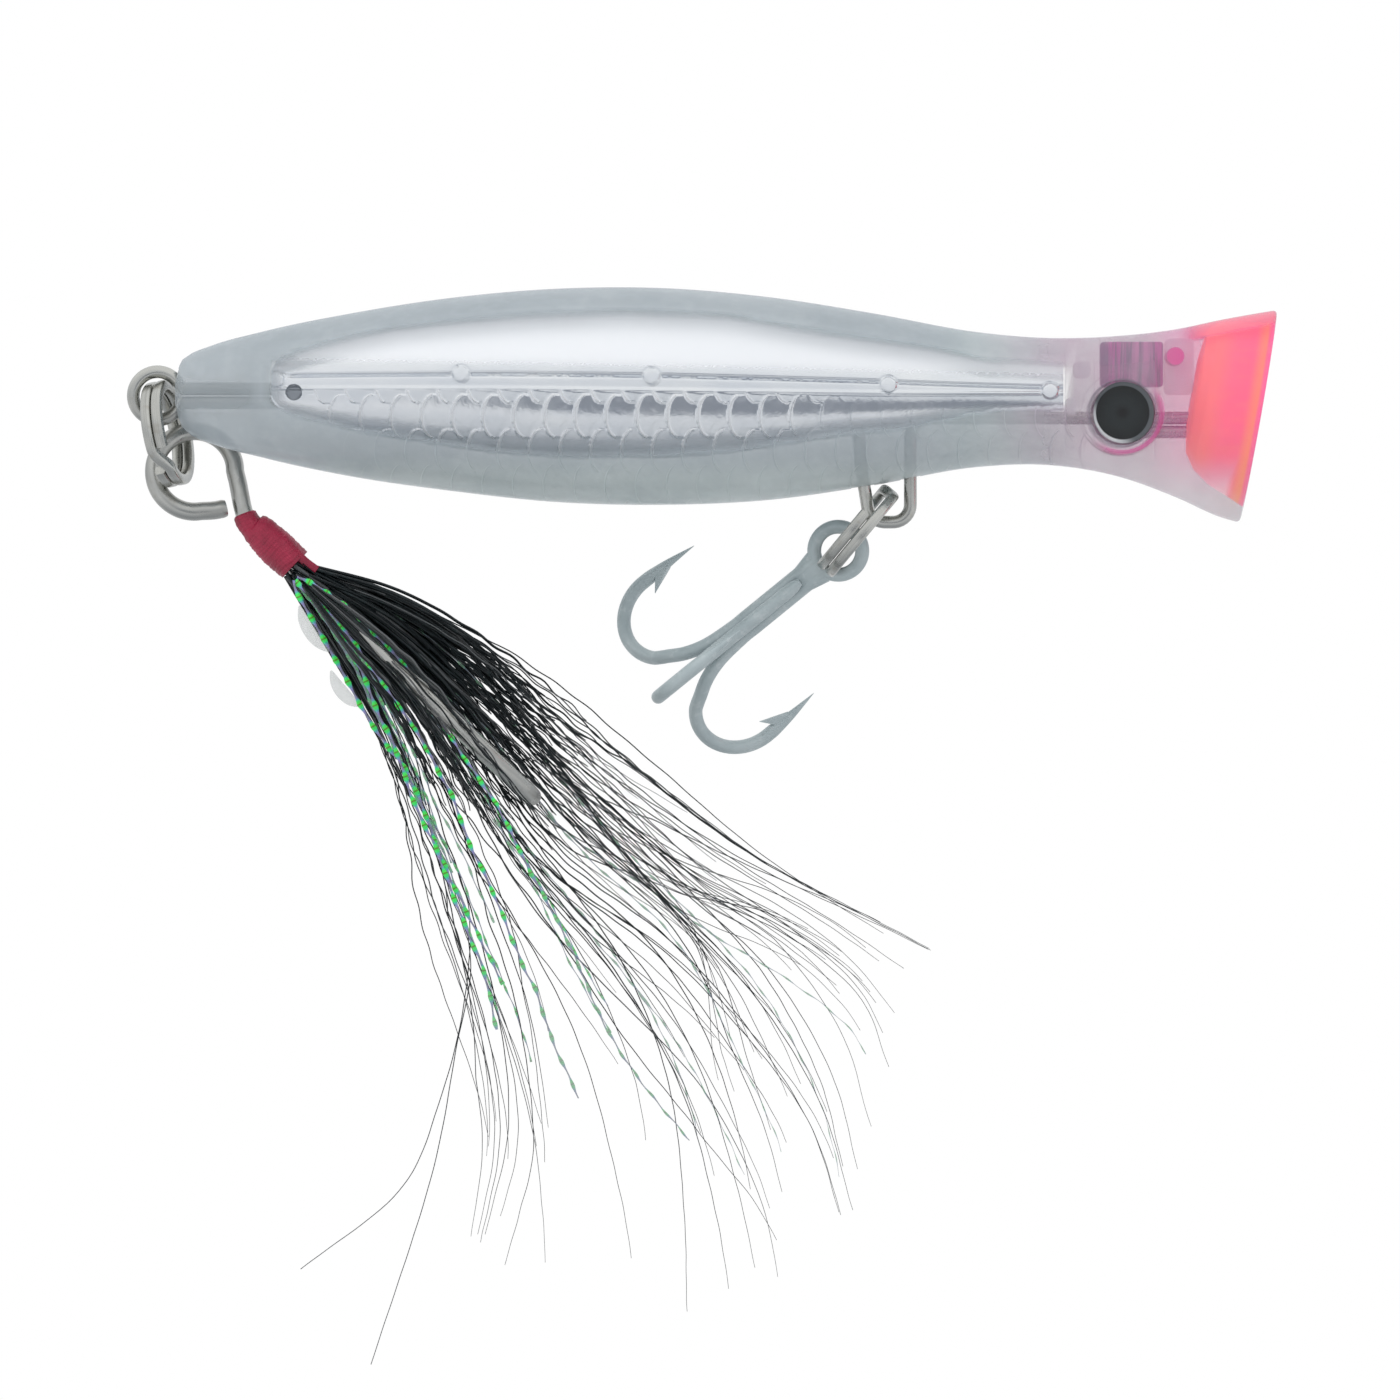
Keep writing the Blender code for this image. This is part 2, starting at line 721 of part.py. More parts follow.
def tail_hook_points():
    """Wire of the tail hook, from the cut end of its open eye to its point."""
    eye = Vector(HOOK_EYE)
    shank, across, normal = hook_frame(HOOK_DIRECTION_DEG)
    flat = [(3.0, -3.5), (1.9, -3.72)]
    flat += arc_points((0.0, 0.0), HOOK_EYE_RADIUS, 280.0, 0.0, 18.0)
    flat += [(4.12, -1.1), (4.35, -2.3), (4.55, -3.3), (4.83, -4.25), (5.27, -5.05), (6.6, -6.33)]
    tip = math.radians(HOOK_EYE_TURN_DEG)
    points = []
    for x, z in flat:
        place = Vector((x, 0.0, z))
        lift = place.dot(across) * math.tan(tip) * min(1.0, max(0.0, (7.5 - place.dot(shank)) / 4.0))
        points.append(eye + place + normal * lift)
    radius = HOOK_GAPE / 2
    middle = HOOK_LENGTH - HOOK_WIRE - radius
    for s, r in arc_points((middle, radius), radius, -90.0, 80.0, 12.0):
        points.append(eye + shank * s - normal * r)
    for s, r in ((middle - 5.0, HOOK_GAPE - 0.6), (HOOK_POINT_S, HOOK_GAPE - 1.6)):
        points.append(eye + shank * s - normal * r)
    return points


def tail_hook(collection, material, origin, parent):
    points = tail_hook_points()
    return wire_object(
        "tail_hook",
        points,
        HOOK_WIRE,
        collection,
        material,
        origin,
        parent,
        taper_for(len(points), ("end",)),
    )


def thread_wrap(collection, material, origin, parent):
    shank, across, normal = hook_frame(HOOK_DIRECTION_DEG)
    frame = Matrix((across, normal, shank)).transposed().to_4x4()
    if frame.determinant() < 0:
        frame = Matrix((normal, across, shank)).transposed().to_4x4()
    profile = [(radius, along) for along, radius in WRAP_PROFILE][::-1]
    profile += [(WRAP_BORE, WRAP_PROFILE[0][0]), (WRAP_BORE, WRAP_PROFILE[-1][0])]
    return turned_object("thread_wrap", profile, frame, collection, material, 20, parent, HOOK_EYE)


def fan(name, outline, offset, collection, material, origin, parent):
    """A flat closed solid that holds the room of one bunch of fibres."""
    shank, across, normal = hook_frame(HOOK_DIRECTION_DEG)
    eye = Vector(HOOK_EYE)
    rings = []
    for lift in (offset - FAN_THICKNESS / 2, offset + FAN_THICKNESS / 2):
        rings.append([eye + shank * s + across * c + normal * lift for s, c in outline])
    mesh = loft_mesh(name, rings, origin)
    return add_object(name, mesh, collection, material, origin, parent)


# ---------------------------------------------------------------- assembly


def build():
    clear_scene()
    parts = make_collection(COLLECTION)
    cutters = make_collection(CUTTERS)

    clear_plastic = make_material("clear_plastic", (0.62, 0.67, 0.7), 0.12, alpha=0.35)
    foil = make_material("silver_foil", (0.84, 0.85, 0.87), 0.15, 1.0)
    steel = make_material("stainless_wire", (0.62, 0.62, 0.59), 0.3, 1.0)
    tinned = make_material("tinned_hook", (0.56, 0.56, 0.53), 0.35, 1.0)
    coated = make_material("coated_hook", (0.42, 0.47, 0.48), 0.5, 0.7)
    lead = make_material("lead", (0.3, 0.3, 0.32), 0.6, 0.8)
    eye_foil = make_material("eye_foil", (0.05, 0.07, 0.08), 0.25, 0.3)
    eye_resin = make_material("eye_resin", (0.8, 0.82, 0.84), 0.05, alpha=0.3)
    thread = make_material("crimson_thread", (0.3, 0.02, 0.06), 0.7)
    hair = make_material("black_hair", (0.01, 0.012, 0.015), 0.5)
    flash = make_material("green_flash", (0.1, 0.6, 0.2), 0.25, 0.6)

    shared = [face_cutter(cutters), cup_cutter(cutters), *wire_channels(cutters)]
    body_shell("body_shell_right", -1, parts, cutters, shared, clear_plastic)
    body_shell("body_shell_left", 1, parts, cutters, shared, clear_plastic)
    foil_insert("foil_insert_right", -1, parts, foil)
    foil_insert("foil_insert_left", 1, parts, foil)
    through_wire(parts, steel)
    low_run = TAIL_LOOP[1] - LEG_HALF
    ballast("tail_weight", TAIL_WEIGHT, low_run, parts, lead)
    ballast("belly_weight", BELLY_WEIGHT, low_run, parts, lead)
    eye_parts("right", -1, parts, eye_foil, eye_resin)
    eye_parts("left", 1, parts, eye_foil, eye_resin)

    belly_pivot = add_pivot("belly_ring_pivot", BELLY_PIVOT, parts)
    split_ring(
        "belly_split_ring",
        BELLY_STRAND,
        BELLY_RING_DIRECTION,
        0.0,
        250.0,
        parts,
        steel,
        BELLY_PIVOT,
        belly_pivot,
    )
    treble_pivot = add_pivot("treble_pivot", TREBLE_EYE, parts, belly_pivot)
    treble(parts, coated, TREBLE_EYE, treble_pivot)

    tail_place = (TAIL_LOOP[0], 0.0, TAIL_LOOP[1])
    tail_pivot = add_pivot("tail_ring_pivot", tail_place, parts)
    split_ring(
        "tail_split_ring",
        TAIL_STRAND,
        TAIL_RING_DIRECTION,
        TAIL_RING_TURN_DEG,
        290.0,
        parts,
        steel,
        tail_place,
        tail_pivot,
    )
    hook_pivot = add_pivot("tail_hook_pivot", HOOK_EYE, parts, tail_pivot)
    tail_hook(parts, tinned, HOOK_EYE, hook_pivot)
    thread_wrap(parts, thread, HOOK_EYE, hook_pivot)
    fan("hair_skirt", HAIR_OUTLINE, HAIR_OFFSET, parts, hair, HOOK_EYE, hook_pivot)
    fan("flash_skirt", FLASH_OUTLINE, FLASH_OFFSET, parts, flash, HOOK_EYE, hook_pivot)


build()
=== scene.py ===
"""Looks of the topwater popper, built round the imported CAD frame.

Shapes below are in millimetres in the row frame: origin at the tow eye, +X nose, +Y left, +Z back.
"""

import math

import bmesh
import bpy
import numpy as np
from mathutils import Matrix, Vector


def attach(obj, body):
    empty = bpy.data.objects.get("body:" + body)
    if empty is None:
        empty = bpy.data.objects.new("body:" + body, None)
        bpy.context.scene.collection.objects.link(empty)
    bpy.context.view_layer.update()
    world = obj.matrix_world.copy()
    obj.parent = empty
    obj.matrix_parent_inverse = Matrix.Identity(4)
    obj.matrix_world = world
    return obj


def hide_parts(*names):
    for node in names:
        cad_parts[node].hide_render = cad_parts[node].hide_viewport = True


MM = 0.001
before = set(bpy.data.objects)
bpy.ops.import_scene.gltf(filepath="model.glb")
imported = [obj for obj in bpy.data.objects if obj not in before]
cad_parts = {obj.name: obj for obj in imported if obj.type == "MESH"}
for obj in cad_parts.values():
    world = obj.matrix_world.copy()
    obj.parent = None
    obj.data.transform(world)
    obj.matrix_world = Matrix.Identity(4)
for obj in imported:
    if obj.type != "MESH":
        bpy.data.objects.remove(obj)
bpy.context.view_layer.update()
rng = np.random.default_rng(7)

# ---------------------------------------------------------------- shared sizes

STATIONS = np.array(
    [
        (-100.5, 4.3, 1.6, 1.3),
        (-100.1, 5.7, 0.3, 2.5),
        (-99.2, 6.65, -0.8, 3.4),
        (-97.5, 7.4, -1.6, 4.1),
        (-92.0, 8.95, -3.15, 5.5),
        (-84.0, 10.6, -4.85, 7.0),
        (-74.0, 12.15, -6.3, 8.3),
        (-64.0, 13.0, -7.35, 9.0),
        (-54.0, 13.05, -7.6, 9.1),
        (-44.0, 12.2, -7.15, 8.6),
        (-34.0, 10.65, -5.75, 7.5),
        (-24.0, 8.85, -4.0, 6.1),
        (-17.5, 8.3, -3.8, 5.7),
        (-10.5, 8.5, -4.95, 6.3),
        (-5.0, 9.15, -6.95, 7.5),
        (-1.0, 10.0, -8.75, 8.8),
        (2.0, 10.55, -9.55, 9.6),
        (6.0, 11.2, -10.5, 10.3),
    ]
)
WALL = 1.45
MAIN_CAVITY = (-93.0, -15.7)
HEAD_CAVITY = (-12.9, -7.2)
FACE_TOP = Vector((4.48, 10.96))
FACE_BOTTOM = Vector((0.95, -9.05))
FACE_LEAN = (FACE_TOP.x - FACE_BOTTOM.x) / (FACE_TOP.y - FACE_BOTTOM.y)
FACE_X = FACE_TOP.x - FACE_LEAN * FACE_TOP.y
CUP_SECTIONS = np.array(
    [
        (-2.0, -9.1, 9.2, 8.6),
        (-0.2, -8.95, 9.05, 8.45),
        (0.6, -8.6, 8.85, 8.3),
        (1.5, -8.2, 8.6, 8.0),
        (3.5, -7.4, 8.4, 7.5),
        (5.2, -6.2, 8.0, 6.5),
        (6.2, -4.7, 7.2, 5.3),
        (6.6, -2.4, 4.6, 3.2),
    ]
)
EYE_X, EYE_Z, EYE_YAW = -10.36, 1.09, math.radians(8.0)
TAIL_LOOP = (-102.2, 2.78)
TAIL_LOOP_RADIUS, TOW_EYE_RADIUS = 2.3, 1.87
LEG_HALF = 0.66
WIRE_RADIUS = 0.61
HOOK_EYE = Vector((-98.74, 3.0, -4.38))
HOOK_DEG, HOOK_TURN = -43.8, 15.0
TREBLE_EYE = Vector((-37.3, 3.3, -11.95))
TREBLE_DEG, TREBLE_TILT = 219.1, 6.5
FLASH_TURN = 2.5
PEEP_HOLE = (-89.1, 3.05)
SCALE_PITCH, SCALE_ROW, SCALE_X, SCALE_Z, SCALE_Z0 = 2.92, 3.3, 1.15, 2.05, 0.75


def smoothstep(low, high, value):
    t = np.clip((value - low) / (high - low), 0.0, 1.0)
    return t * t * (3.0 - 2.0 * t)


def station(x, column):
    """Smooth value of one station column at x, which may be an array."""
    xs, ys = STATIONS[:, 0], STATIONS[:, column]
    slopes = np.gradient(ys, xs)
    x = np.asarray(x, float)
    i = np.clip(np.searchsorted(xs, x) - 1, 0, len(xs) - 2)
    span = xs[i + 1] - xs[i]
    t = (x - xs[i]) / span
    start = (2 * t**3 - 3 * t**2 + 1) * ys[i] + (t**3 - 2 * t**2 + t) * span * slopes[i]
    end = (-2 * t**3 + 3 * t**2) * ys[i + 1] + (t**3 - t**2) * span * slopes[i + 1]
    return start + end


def section(x):
    top, bottom = station(x, 1), station(x, 2)
    return (top + bottom) / 2, (top - bottom) / 2, station(x, 3)


# ---------------------------------------------------------------- meshes


def make_mesh(name, verts, faces, uvs=None, tone=None):
    mesh = bpy.data.meshes.new(name)
    mesh.from_pydata((np.asarray(verts, float) * MM).tolist(), [], faces)
    if tone is not None:
        set_tone(mesh, tone)
    if uvs is not None:
        layer = mesh.uv_layers.new(name="along")
        loops = np.empty(len(mesh.loops), np.int32)
        mesh.loops.foreach_get("vertex_index", loops)
        layer.data.foreach_set("uv", np.asarray(uvs, np.float32)[loops].reshape(-1))
    return mesh


def set_tone(mesh, tone):
    """One number per vertex, which materials read to vary their look."""
    layer = mesh.attributes.new("tone", "FLOAT", "POINT")
    layer.data.foreach_set("value", np.asarray(tone, np.float32))


def new_object(name, data):
    obj = bpy.data.objects.new(name, data)
    bpy.context.scene.collection.objects.link(obj)
    return obj


def add_piece(name, mesh, material, body, replaces=(), sharp=40.0):
    obj = new_object(name, mesh)
    if material is not None:
        mesh.materials.clear()
        mesh.materials.append(material)
    mesh.shade_smooth()
    mesh.set_sharp_from_angle(angle=math.radians(sharp))
    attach(obj, body)
    if replaces:
        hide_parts(*replaces)
    return obj


def outward(mesh):
    tidy = bmesh.new()
    tidy.from_mesh(mesh)
    bmesh.ops.recalc_face_normals(tidy, faces=tidy.faces)
    tidy.to_mesh(mesh)
    tidy.free()
    return mesh


def strip_faces(rows, columns, closed=True, start=0):
    """Quads of a grid of rows of points. closed joins each row's ends."""
    faces = []
    span = columns if closed else columns - 1
    for r in range(rows - 1):
        for c in range(span):
            d = (c + 1) % columns
            a, b = start + r * columns, start + (r + 1) * columns
            faces.append((a + c, a + d, b + d, b + c))
    return faces


def loft(name, rings):
    size = len(rings[0])
    verts = np.concatenate([np.asarray(r, float) for r in rings])
    faces = strip_faces(len(rings), size)
    faces += [tuple(range(size)), tuple(range(len(verts) - size, len(verts)))]
    return outward(make_mesh(name, verts, faces))


def path_frames(points, up):
    """Two directions across a path at each point, which follow it without twisting."""
    points = np.asarray(points, float)
    tangents = np.gradient(points, axis=0)
    tangents /= np.linalg.norm(tangents, axis=1)[:, None]
    side = np.cross(tangents[0], np.asarray(up, float))
    side /= np.linalg.norm(side)
    sides = [side]
    for t in tangents[1:]:
        side = side - t * side.dot(t)
        side = side / np.linalg.norm(side)
        sides.append(side)
    sides = np.array(sides)
    return sides, np.cross(sides, tangents)


def path_length(points):
    """Length from the start of a path to each of its points."""
    return np.concatenate([[0.0], np.cumsum(np.linalg.norm(np.diff(points, axis=0), axis=1))])


def skin(points, rows):
    """A tube's verts, faces and UVs from a row of verts round each point. UV is (length, share round)."""
    count, size = rows.shape[:2]
    uvs = np.stack([np.repeat(path_length(points), size), np.tile(np.arange(size) / size, count)], axis=1)
    faces = strip_faces(count, size)
    faces += [tuple(range(size)), tuple(range(count * size - size, count * size))[::-1]]
    return rows.reshape(-1, 3), faces, uvs


def sweep_arrays(points, profile, scale=None, up=(0, 1, 0)):
    """The skin of a closed profile swept along points, with its two sides scaled point by point."""
    points = np.asarray(points, float)
    profile = np.asarray(profile, float)
    sides, tops = path_frames(points, up)
    scale = np.ones((len(points), 2)) if scale is None else np.asarray(scale, float)
    if scale.ndim == 1:
        scale = np.stack([scale, scale], axis=1)
    rows = points[:, None, :] + sides[:, None, :] * (profile[None, :, 0:1] * scale[:, None, 0:1])
    rows = rows + tops[:, None, :] * (profile[None, :, 1:2] * scale[:, None, 1:2])
    return skin(points, rows)


def circle(radius, sides):
    a = np.linspace(0.0, 2 * np.pi, sides, endpoint=False)
    return np.stack([radius * np.cos(a), radius * np.sin(a)], axis=1)


def rounded_box(half_x, half_y, edge, steps=3):
    points = []
    for cx, cy, start in ((1, 1, 0), (-1, 1, 90), (-1, -1, 180), (1, -1, 270)):
        for a in np.radians(np.linspace(start, start + 90, steps)):
            points.append(
                (cx * (half_x - edge) + edge * math.cos(a), cy * (half_y - edge) + edge * math.sin(a))
            )
    return np.array(points)


def smooth_path(points, step):
    """Catmull-Rom through points, resampled evenly at about step."""
    points = np.asarray(points, float)
    padded = np.concatenate([[2 * points[0] - points[1]], points, [2 * points[-1] - points[-2]]])
    t = np.linspace(0.0, 1.0, 24, endpoint=False)[:, None]
    dense = []
    for a, b, c, d in zip(padded, padded[1:], padded[2:], padded[3:]):
        dense.append(
            0.5 * (2 * b + (c - a) * t + (2 * a - 5 * b + 4 * c - d) * t**2 + (3 * b - a - 3 * c + d) * t**3)
        )
    dense = np.concatenate([*dense, points[-1:]])
    return resample(dense, step)


def resample(points, step):
    points = np.asarray(points, float)
    length = path_length(points)
    count = max(3, int(round(length[-1] / step)) + 1)
    wanted = np.linspace(0.0, length[-1], count)
    return np.stack([np.interp(wanted, length, points[:, k]) for k in range(points.shape[1])], axis=1)


def arc(centre, radius, start, end, step=4.0):
    count = max(2, int(round(abs(end - start) / step)) + 1)
    a = np.radians(np.linspace(start, end, count))
    return np.stack([centre[0] + radius * np.cos(a), centre[1] + radius * np.sin(a)], axis=1)


def merged(parts):
    """One set of verts, faces and UVs from several."""
    verts, faces, uvs, base = [], [], [], 0
    for v, f, u in parts:
        verts.append(v)
        uvs.append(u)
        faces += [tuple(i + base for i in face) for face in f]
        base += len(v)
    return np.concatenate(verts), faces, np.concatenate(uvs)


def add_merged(name, parts, material, body, replaces=(), sharp=40.0):
    """One piece from several sets of verts, faces and UVs."""
    mesh = outward(make_mesh(name, *merged(parts)))
    return add_piece(name, mesh, material, body, replaces, sharp)


def straight(start, end, step):
    return resample(np.array([start, end]), step)


def hook_axes(angle_deg, tilt_deg=0.0):
    a, t = math.radians(angle_deg), math.radians(tilt_deg)
    flat = Vector((math.cos(a), 0.0, math.sin(a)))
    away = Vector((0.0, 1.0, 0.0))
    shank = flat * math.cos(t) + away * math.sin(t)
    normal = away * math.cos(t) - flat * math.sin(t)
    return np.array(shank), np.array(shank.cross(normal)), np.array(normal)


# ---------------------------------------------------------------- materials


def new_tree(name):
    material = bpy.data.materials.new(name)
    material.use_nodes = True
    tree = material.node_tree
    tree.nodes.clear()
    return material, tree


class Value:
    """A number in a shader, which plain arithmetic turns into Math nodes."""

    def __init__(self, tree, socket):
        self.tree = tree
        self.socket = socket

    def __add__(self, other):
        return math_node(self.tree, "ADD", self, other)

    def __sub__(self, other):
        return math_node(self.tree, "SUBTRACT", self, other)

    def __rsub__(self, other):
        return math_node(self.tree, "SUBTRACT", other, self)

    def __mul__(self, other):
        return math_node(self.tree, "MULTIPLY", self, other)

    def __truediv__(self, other):
        return math_node(self.tree, "DIVIDE", self, other)


def plug(tree, socket, value):
    """Links a Value or a socket into socket, or sets it to a plain value."""
    value = value.socket if isinstance(value, Value) else value
    if isinstance(value, bpy.types.NodeSocket):
        tree.links.new(value, socket)
    else:
        socket.default_value = value


def node(tree, kind, inputs=None, **settings):
    made = tree.nodes.new("ShaderNode" + kind)
    for key, value in settings.items():
        setattr(made, key, value)
    for key, value in (inputs or {}).items():
        plug(tree, made.inputs[key], value)
    return made


def principled(material, tree, inputs):
    """Ends a material with one Principled shader."""
    node(tree, "OutputMaterial", {"Surface": node(tree, "BsdfPrincipled", inputs).outputs[0]})
    return material


def colour(r, g, b):
    return (r, g, b, 1.0)


def ramp(tree, factor, stops, interpolation="LINEAR"):
    made = node(tree, "ValToRGB", {"Fac": factor})
    bar = made.color_ramp
    bar.interpolation = interpolation
    while len(bar.elements) < len(stops):
        bar.elements.new(0.5)
    for element, (place, value) in zip(bar.elements, stops):
        element.position = place
        element.color = value if len(value) == 4 else (*value, 1.0)
    return made.outputs["Color"]


def math_node(tree, operation, a, b=0.0, c=0.0, clamp=False):
    made = node(tree, "Math", {0: a, 1: b, 2: c}, operation=operation)
    made.use_clamp = clamp
    return Value(tree, made.outputs[0])


def map_range(tree, value, low, high, to_low=0.0, to_high=1.0, kind="SMOOTHSTEP"):
    made = node(
        tree,
        "MapRange",
        {"Value": value, "From Min": low, "From Max": high, "To Min": to_low, "To Max": to_high},
        interpolation_type=kind,
    )
    return Value(tree, made.outputs["Result"])


def mix_colour(tree, factor, a, b, blend="MIX"):
    made = node(tree, "Mix", data_type="RGBA", blend_type=blend)
    for index, value in ((0, factor), (6, a), (7, b)):
        plug(tree, made.inputs[index], value)
    return made.outputs[2]


def object_place(tree):
    """Object coordinates in millimetres."""
    raw = node(tree, "TexCoord").outputs["Object"]
    return node(tree, "VectorMath", {0: raw, 3: 1000.0}, operation="SCALE").outputs[0]


def part_of(tree, vector, index):
    return Value(tree, node(tree, "SeparateXYZ", {0: vector}).outputs[index])


def side_view(tree):
    """Object coordinates in millimetres, then their X and Z."""
    place = object_place(tree)
    return place, part_of(tree, place, 0), part_of(tree, place, 2)


def along_uv(tree):
    return node(tree, "UVMap", uv_map="along").outputs["UV"]


def facing_away(tree, blend=0.5):
    """0 where a surface faces the viewer and 1 at its outline."""
    return node(tree, "LayerWeight", {"Blend": blend}).outputs["Facing"]


def noise(tree, vector, scale, detail=3.0, roughness=0.5):
    made = node(
        tree, "TexNoise", {"Vector": vector, "Scale": scale, "Detail": detail, "Roughness": roughness}
    )
    return made.outputs["Fac"]


def stretched(tree, vector, scales):
    return node(tree, "VectorMath", {0: vector, 1: scales}, operation="MULTIPLY").outputs[0]


def bump(tree, height, strength, distance=0.0001, normal=None):
    inputs = {"Height": height, "Strength": strength, "Distance": distance}
    if normal is not None:
        inputs["Normal"] = normal
    return node(tree, "Bump", inputs).outputs["Normal"]


def distance(tree, a, b):
    return math_node(tree, "SQRT", a * a + b * b)


def spot(tree, x, z, centre, radius, soft):
    """1 inside a disc seen along Y, 0 outside."""
    return map_range(tree, distance(tree, x - centre[0], z - centre[1]), radius + soft, radius - soft)


def tone_value(tree):
    return Value(tree, node(tree, "Attribute", attribute_name="tone").outputs["Fac"])


def scale_lines(tree, x, z, shift):
    """Thin arcs of every second row of scales, bulging towards the tail."""
    rows = (z - (SCALE_Z0 + shift * SCALE_ROW)) / (2 * SCALE_ROW)
    nearest = rows - math_node(tree, "ROUND", rows)
    u = nearest * (2 * SCALE_ROW / SCALE_Z)
    inside = math_node(tree, "SUBTRACT", 1.0, u * u, clamp=True)
    bulge = math_node(tree, "SQRT", inside) * SCALE_X
    along = x + bulge + shift * SCALE_PITCH / 2
    turn = math_node(tree, "FRACT", along / SCALE_PITCH)
    near = map_range(tree, math_node(tree, "ABSOLUTE", turn - 0.5), 0.465, 0.49)
    return near * map_range(tree, inside, 0.02, 0.1)


def clear_plastic():
    material, tree = new_tree("clear_plastic_look")
    place, x, z = side_view(tree)
    haze = tone_value(tree)
    grey = ramp(
        tree,
        noise(tree, place, 0.12, 1.5),
        [(0.35, (0.52, 0.595, 0.605)), (0.65, (0.60, 0.67, 0.675))],
    )
    # painted shade: the shell above the belly, in front of the foil, is darkened towards blue-grey
    painted_shade_over_foil = map_range(tree, z, -5.5, -2.5) * map_range(tree, x, -20.0, -30.0)
    grey = mix_colour(tree, painted_shade_over_foil * 0.5, grey, colour(0.4, 0.44, 0.5))
    pinkness = map_range(tree, x, -26.0, -10.0) * map_range(tree, z, -9.0, 1.0, 0.35, 1.0)
    blush = noise(tree, stretched(tree, place, (1.0, 1.0, 0.35)), 0.35, 2.0)
    pinkness = pinkness * map_range(tree, blush, 0.25, 0.7, 0.55, 1.0)
    tint = mix_colour(tree, pinkness, grey, colour(0.50, 0.27, 0.42))
    # painted glow: the clear plastic just behind the cup is tinted magenta as if lit by the cup's paint
    painted_glow = map_range(tree, x, -9.0, -4.5) * map_range(tree, z, -8.0, 0.5)
    tint = mix_colour(tree, painted_glow * 0.85, tint, colour(0.78, 0.19, 0.5))
    level = z - x * 0.2
    brow = map_range(tree, level, 8.5, 9.1) * map_range(tree, x, -5.0, -2.4)
    tint = mix_colour(tree, brow * 0.9, tint, colour(0.98, 0.22, 0.32))
    dx = x - EYE_X
    dz = z - EYE_Z
    reach = distance(tree, dx, dz)
    # painted reflection: the socket ring's outer edge is tinted magenta on its lower right side only
    edge = map_range(tree, math_node(tree, "ABSOLUTE", reach - 3.75), 0.4, 0.1)
    painted_lip_shade = map_range(tree, math_node(tree, "ABSOLUTE", reach - 3.15), 0.16, 0.05)
    painted_reflection_side = map_range(tree, dx - dz, -1.0, 3.0)
    ring = edge * painted_reflection_side
    tint = mix_colour(tree, ring * 0.8, tint, colour(0.72, 0.1, 0.36))
    # painted shade: a dark line is drawn round the eye recess's edge
    tint = mix_colour(tree, painted_lip_shade * 0.7, tint, colour(0.16, 0.15, 0.19))
    facing = facing_away(tree)
    rim = map_range(tree, facing, 0.45, 1.0, 0.0, 0.30)
    cloud = map_range(tree, noise(tree, place, 0.5, 3.0), 0.4, 0.75, 0.0, 0.06)
    scales = math_node(tree, "MAXIMUM", scale_lines(tree, x, z, 0.0), scale_lines(tree, x, z, 1.0))
    flank = map_range(tree, z, 2.2, 1.2) * map_range(tree, x, -12.0, -16.0)
    flank = flank * map_range(tree, x, -86.0, -78.0)
    scales = scales * flank
    alpha = map_range(tree, haze, 0.0, 1.0, 0.03, 0.48, kind="LINEAR")
    alpha = alpha + rim * map_range(tree, haze, 0.0, 1.0, 0.1, 0.8)
    alpha = alpha + cloud * haze
    alpha = alpha + scales * 0.13
    alpha = alpha + brow * 0.4
    alpha = math_node(tree, "ADD", alpha, math_node(tree, "MAXIMUM", ring, painted_lip_shade) * 0.25, clamp=True)
    relief = bump(tree, scales, 0.5, 0.00008, bump(tree, noise(tree, place, 0.35, 2.0), 0.12, 0.0003))
    return principled(
        material, tree, {"Base Color": tint, "Roughness": 0.1, "IOR": 1.5, "Alpha": alpha, "Normal": relief}
    )


def moulding_look():
    """Panel, blocks and windows moulded inside the head, with magenta showing at their edges."""
    material, tree = new_tree("head_moulding_look")
    place, x, z = side_view(tree)
    streak = noise(tree, stretched(tree, place, (1.0, 0.3, 0.06)), 1.3, 2.0)
    base = ramp(
        tree,
        streak,
        [
            (0.36, (0.30, 0.22, 0.33)),
            (0.46, (0.72, 0.20, 0.50)),
            (0.54, (0.26, 0.20, 0.30)),
            (0.64, (0.80, 0.34, 0.60)),
        ],
    )
    peg = spot(tree, x, z, (-5.3, 6.5), 0.85, 0.06)
    base = mix_colour(tree, peg, base, colour(0.84, 0.16, 0.40))
    facing = facing_away(tree)
    ribs = map_range(tree, x, -12.9, -12.6) * map_range(tree, x, -6.35, -6.5)
    clear = mix_colour(
        tree, map_range(tree, facing, 0.3, 0.8), colour(0.78, 0.74, 0.79), colour(0.70, 0.16, 0.42)
    )
    base = mix_colour(tree, math_node(tree, "MAXIMUM", ribs, peg), clear, base)
    alpha = map_range(tree, facing, 0.2, 0.9, 0.22, 0.7) + peg * 0.5
    alpha = math_node(tree, "ADD", alpha, ribs * 0.4, clamp=True)
    return principled(material, tree, {"Base Color": base, "Roughness": 0.12, "Alpha": alpha})


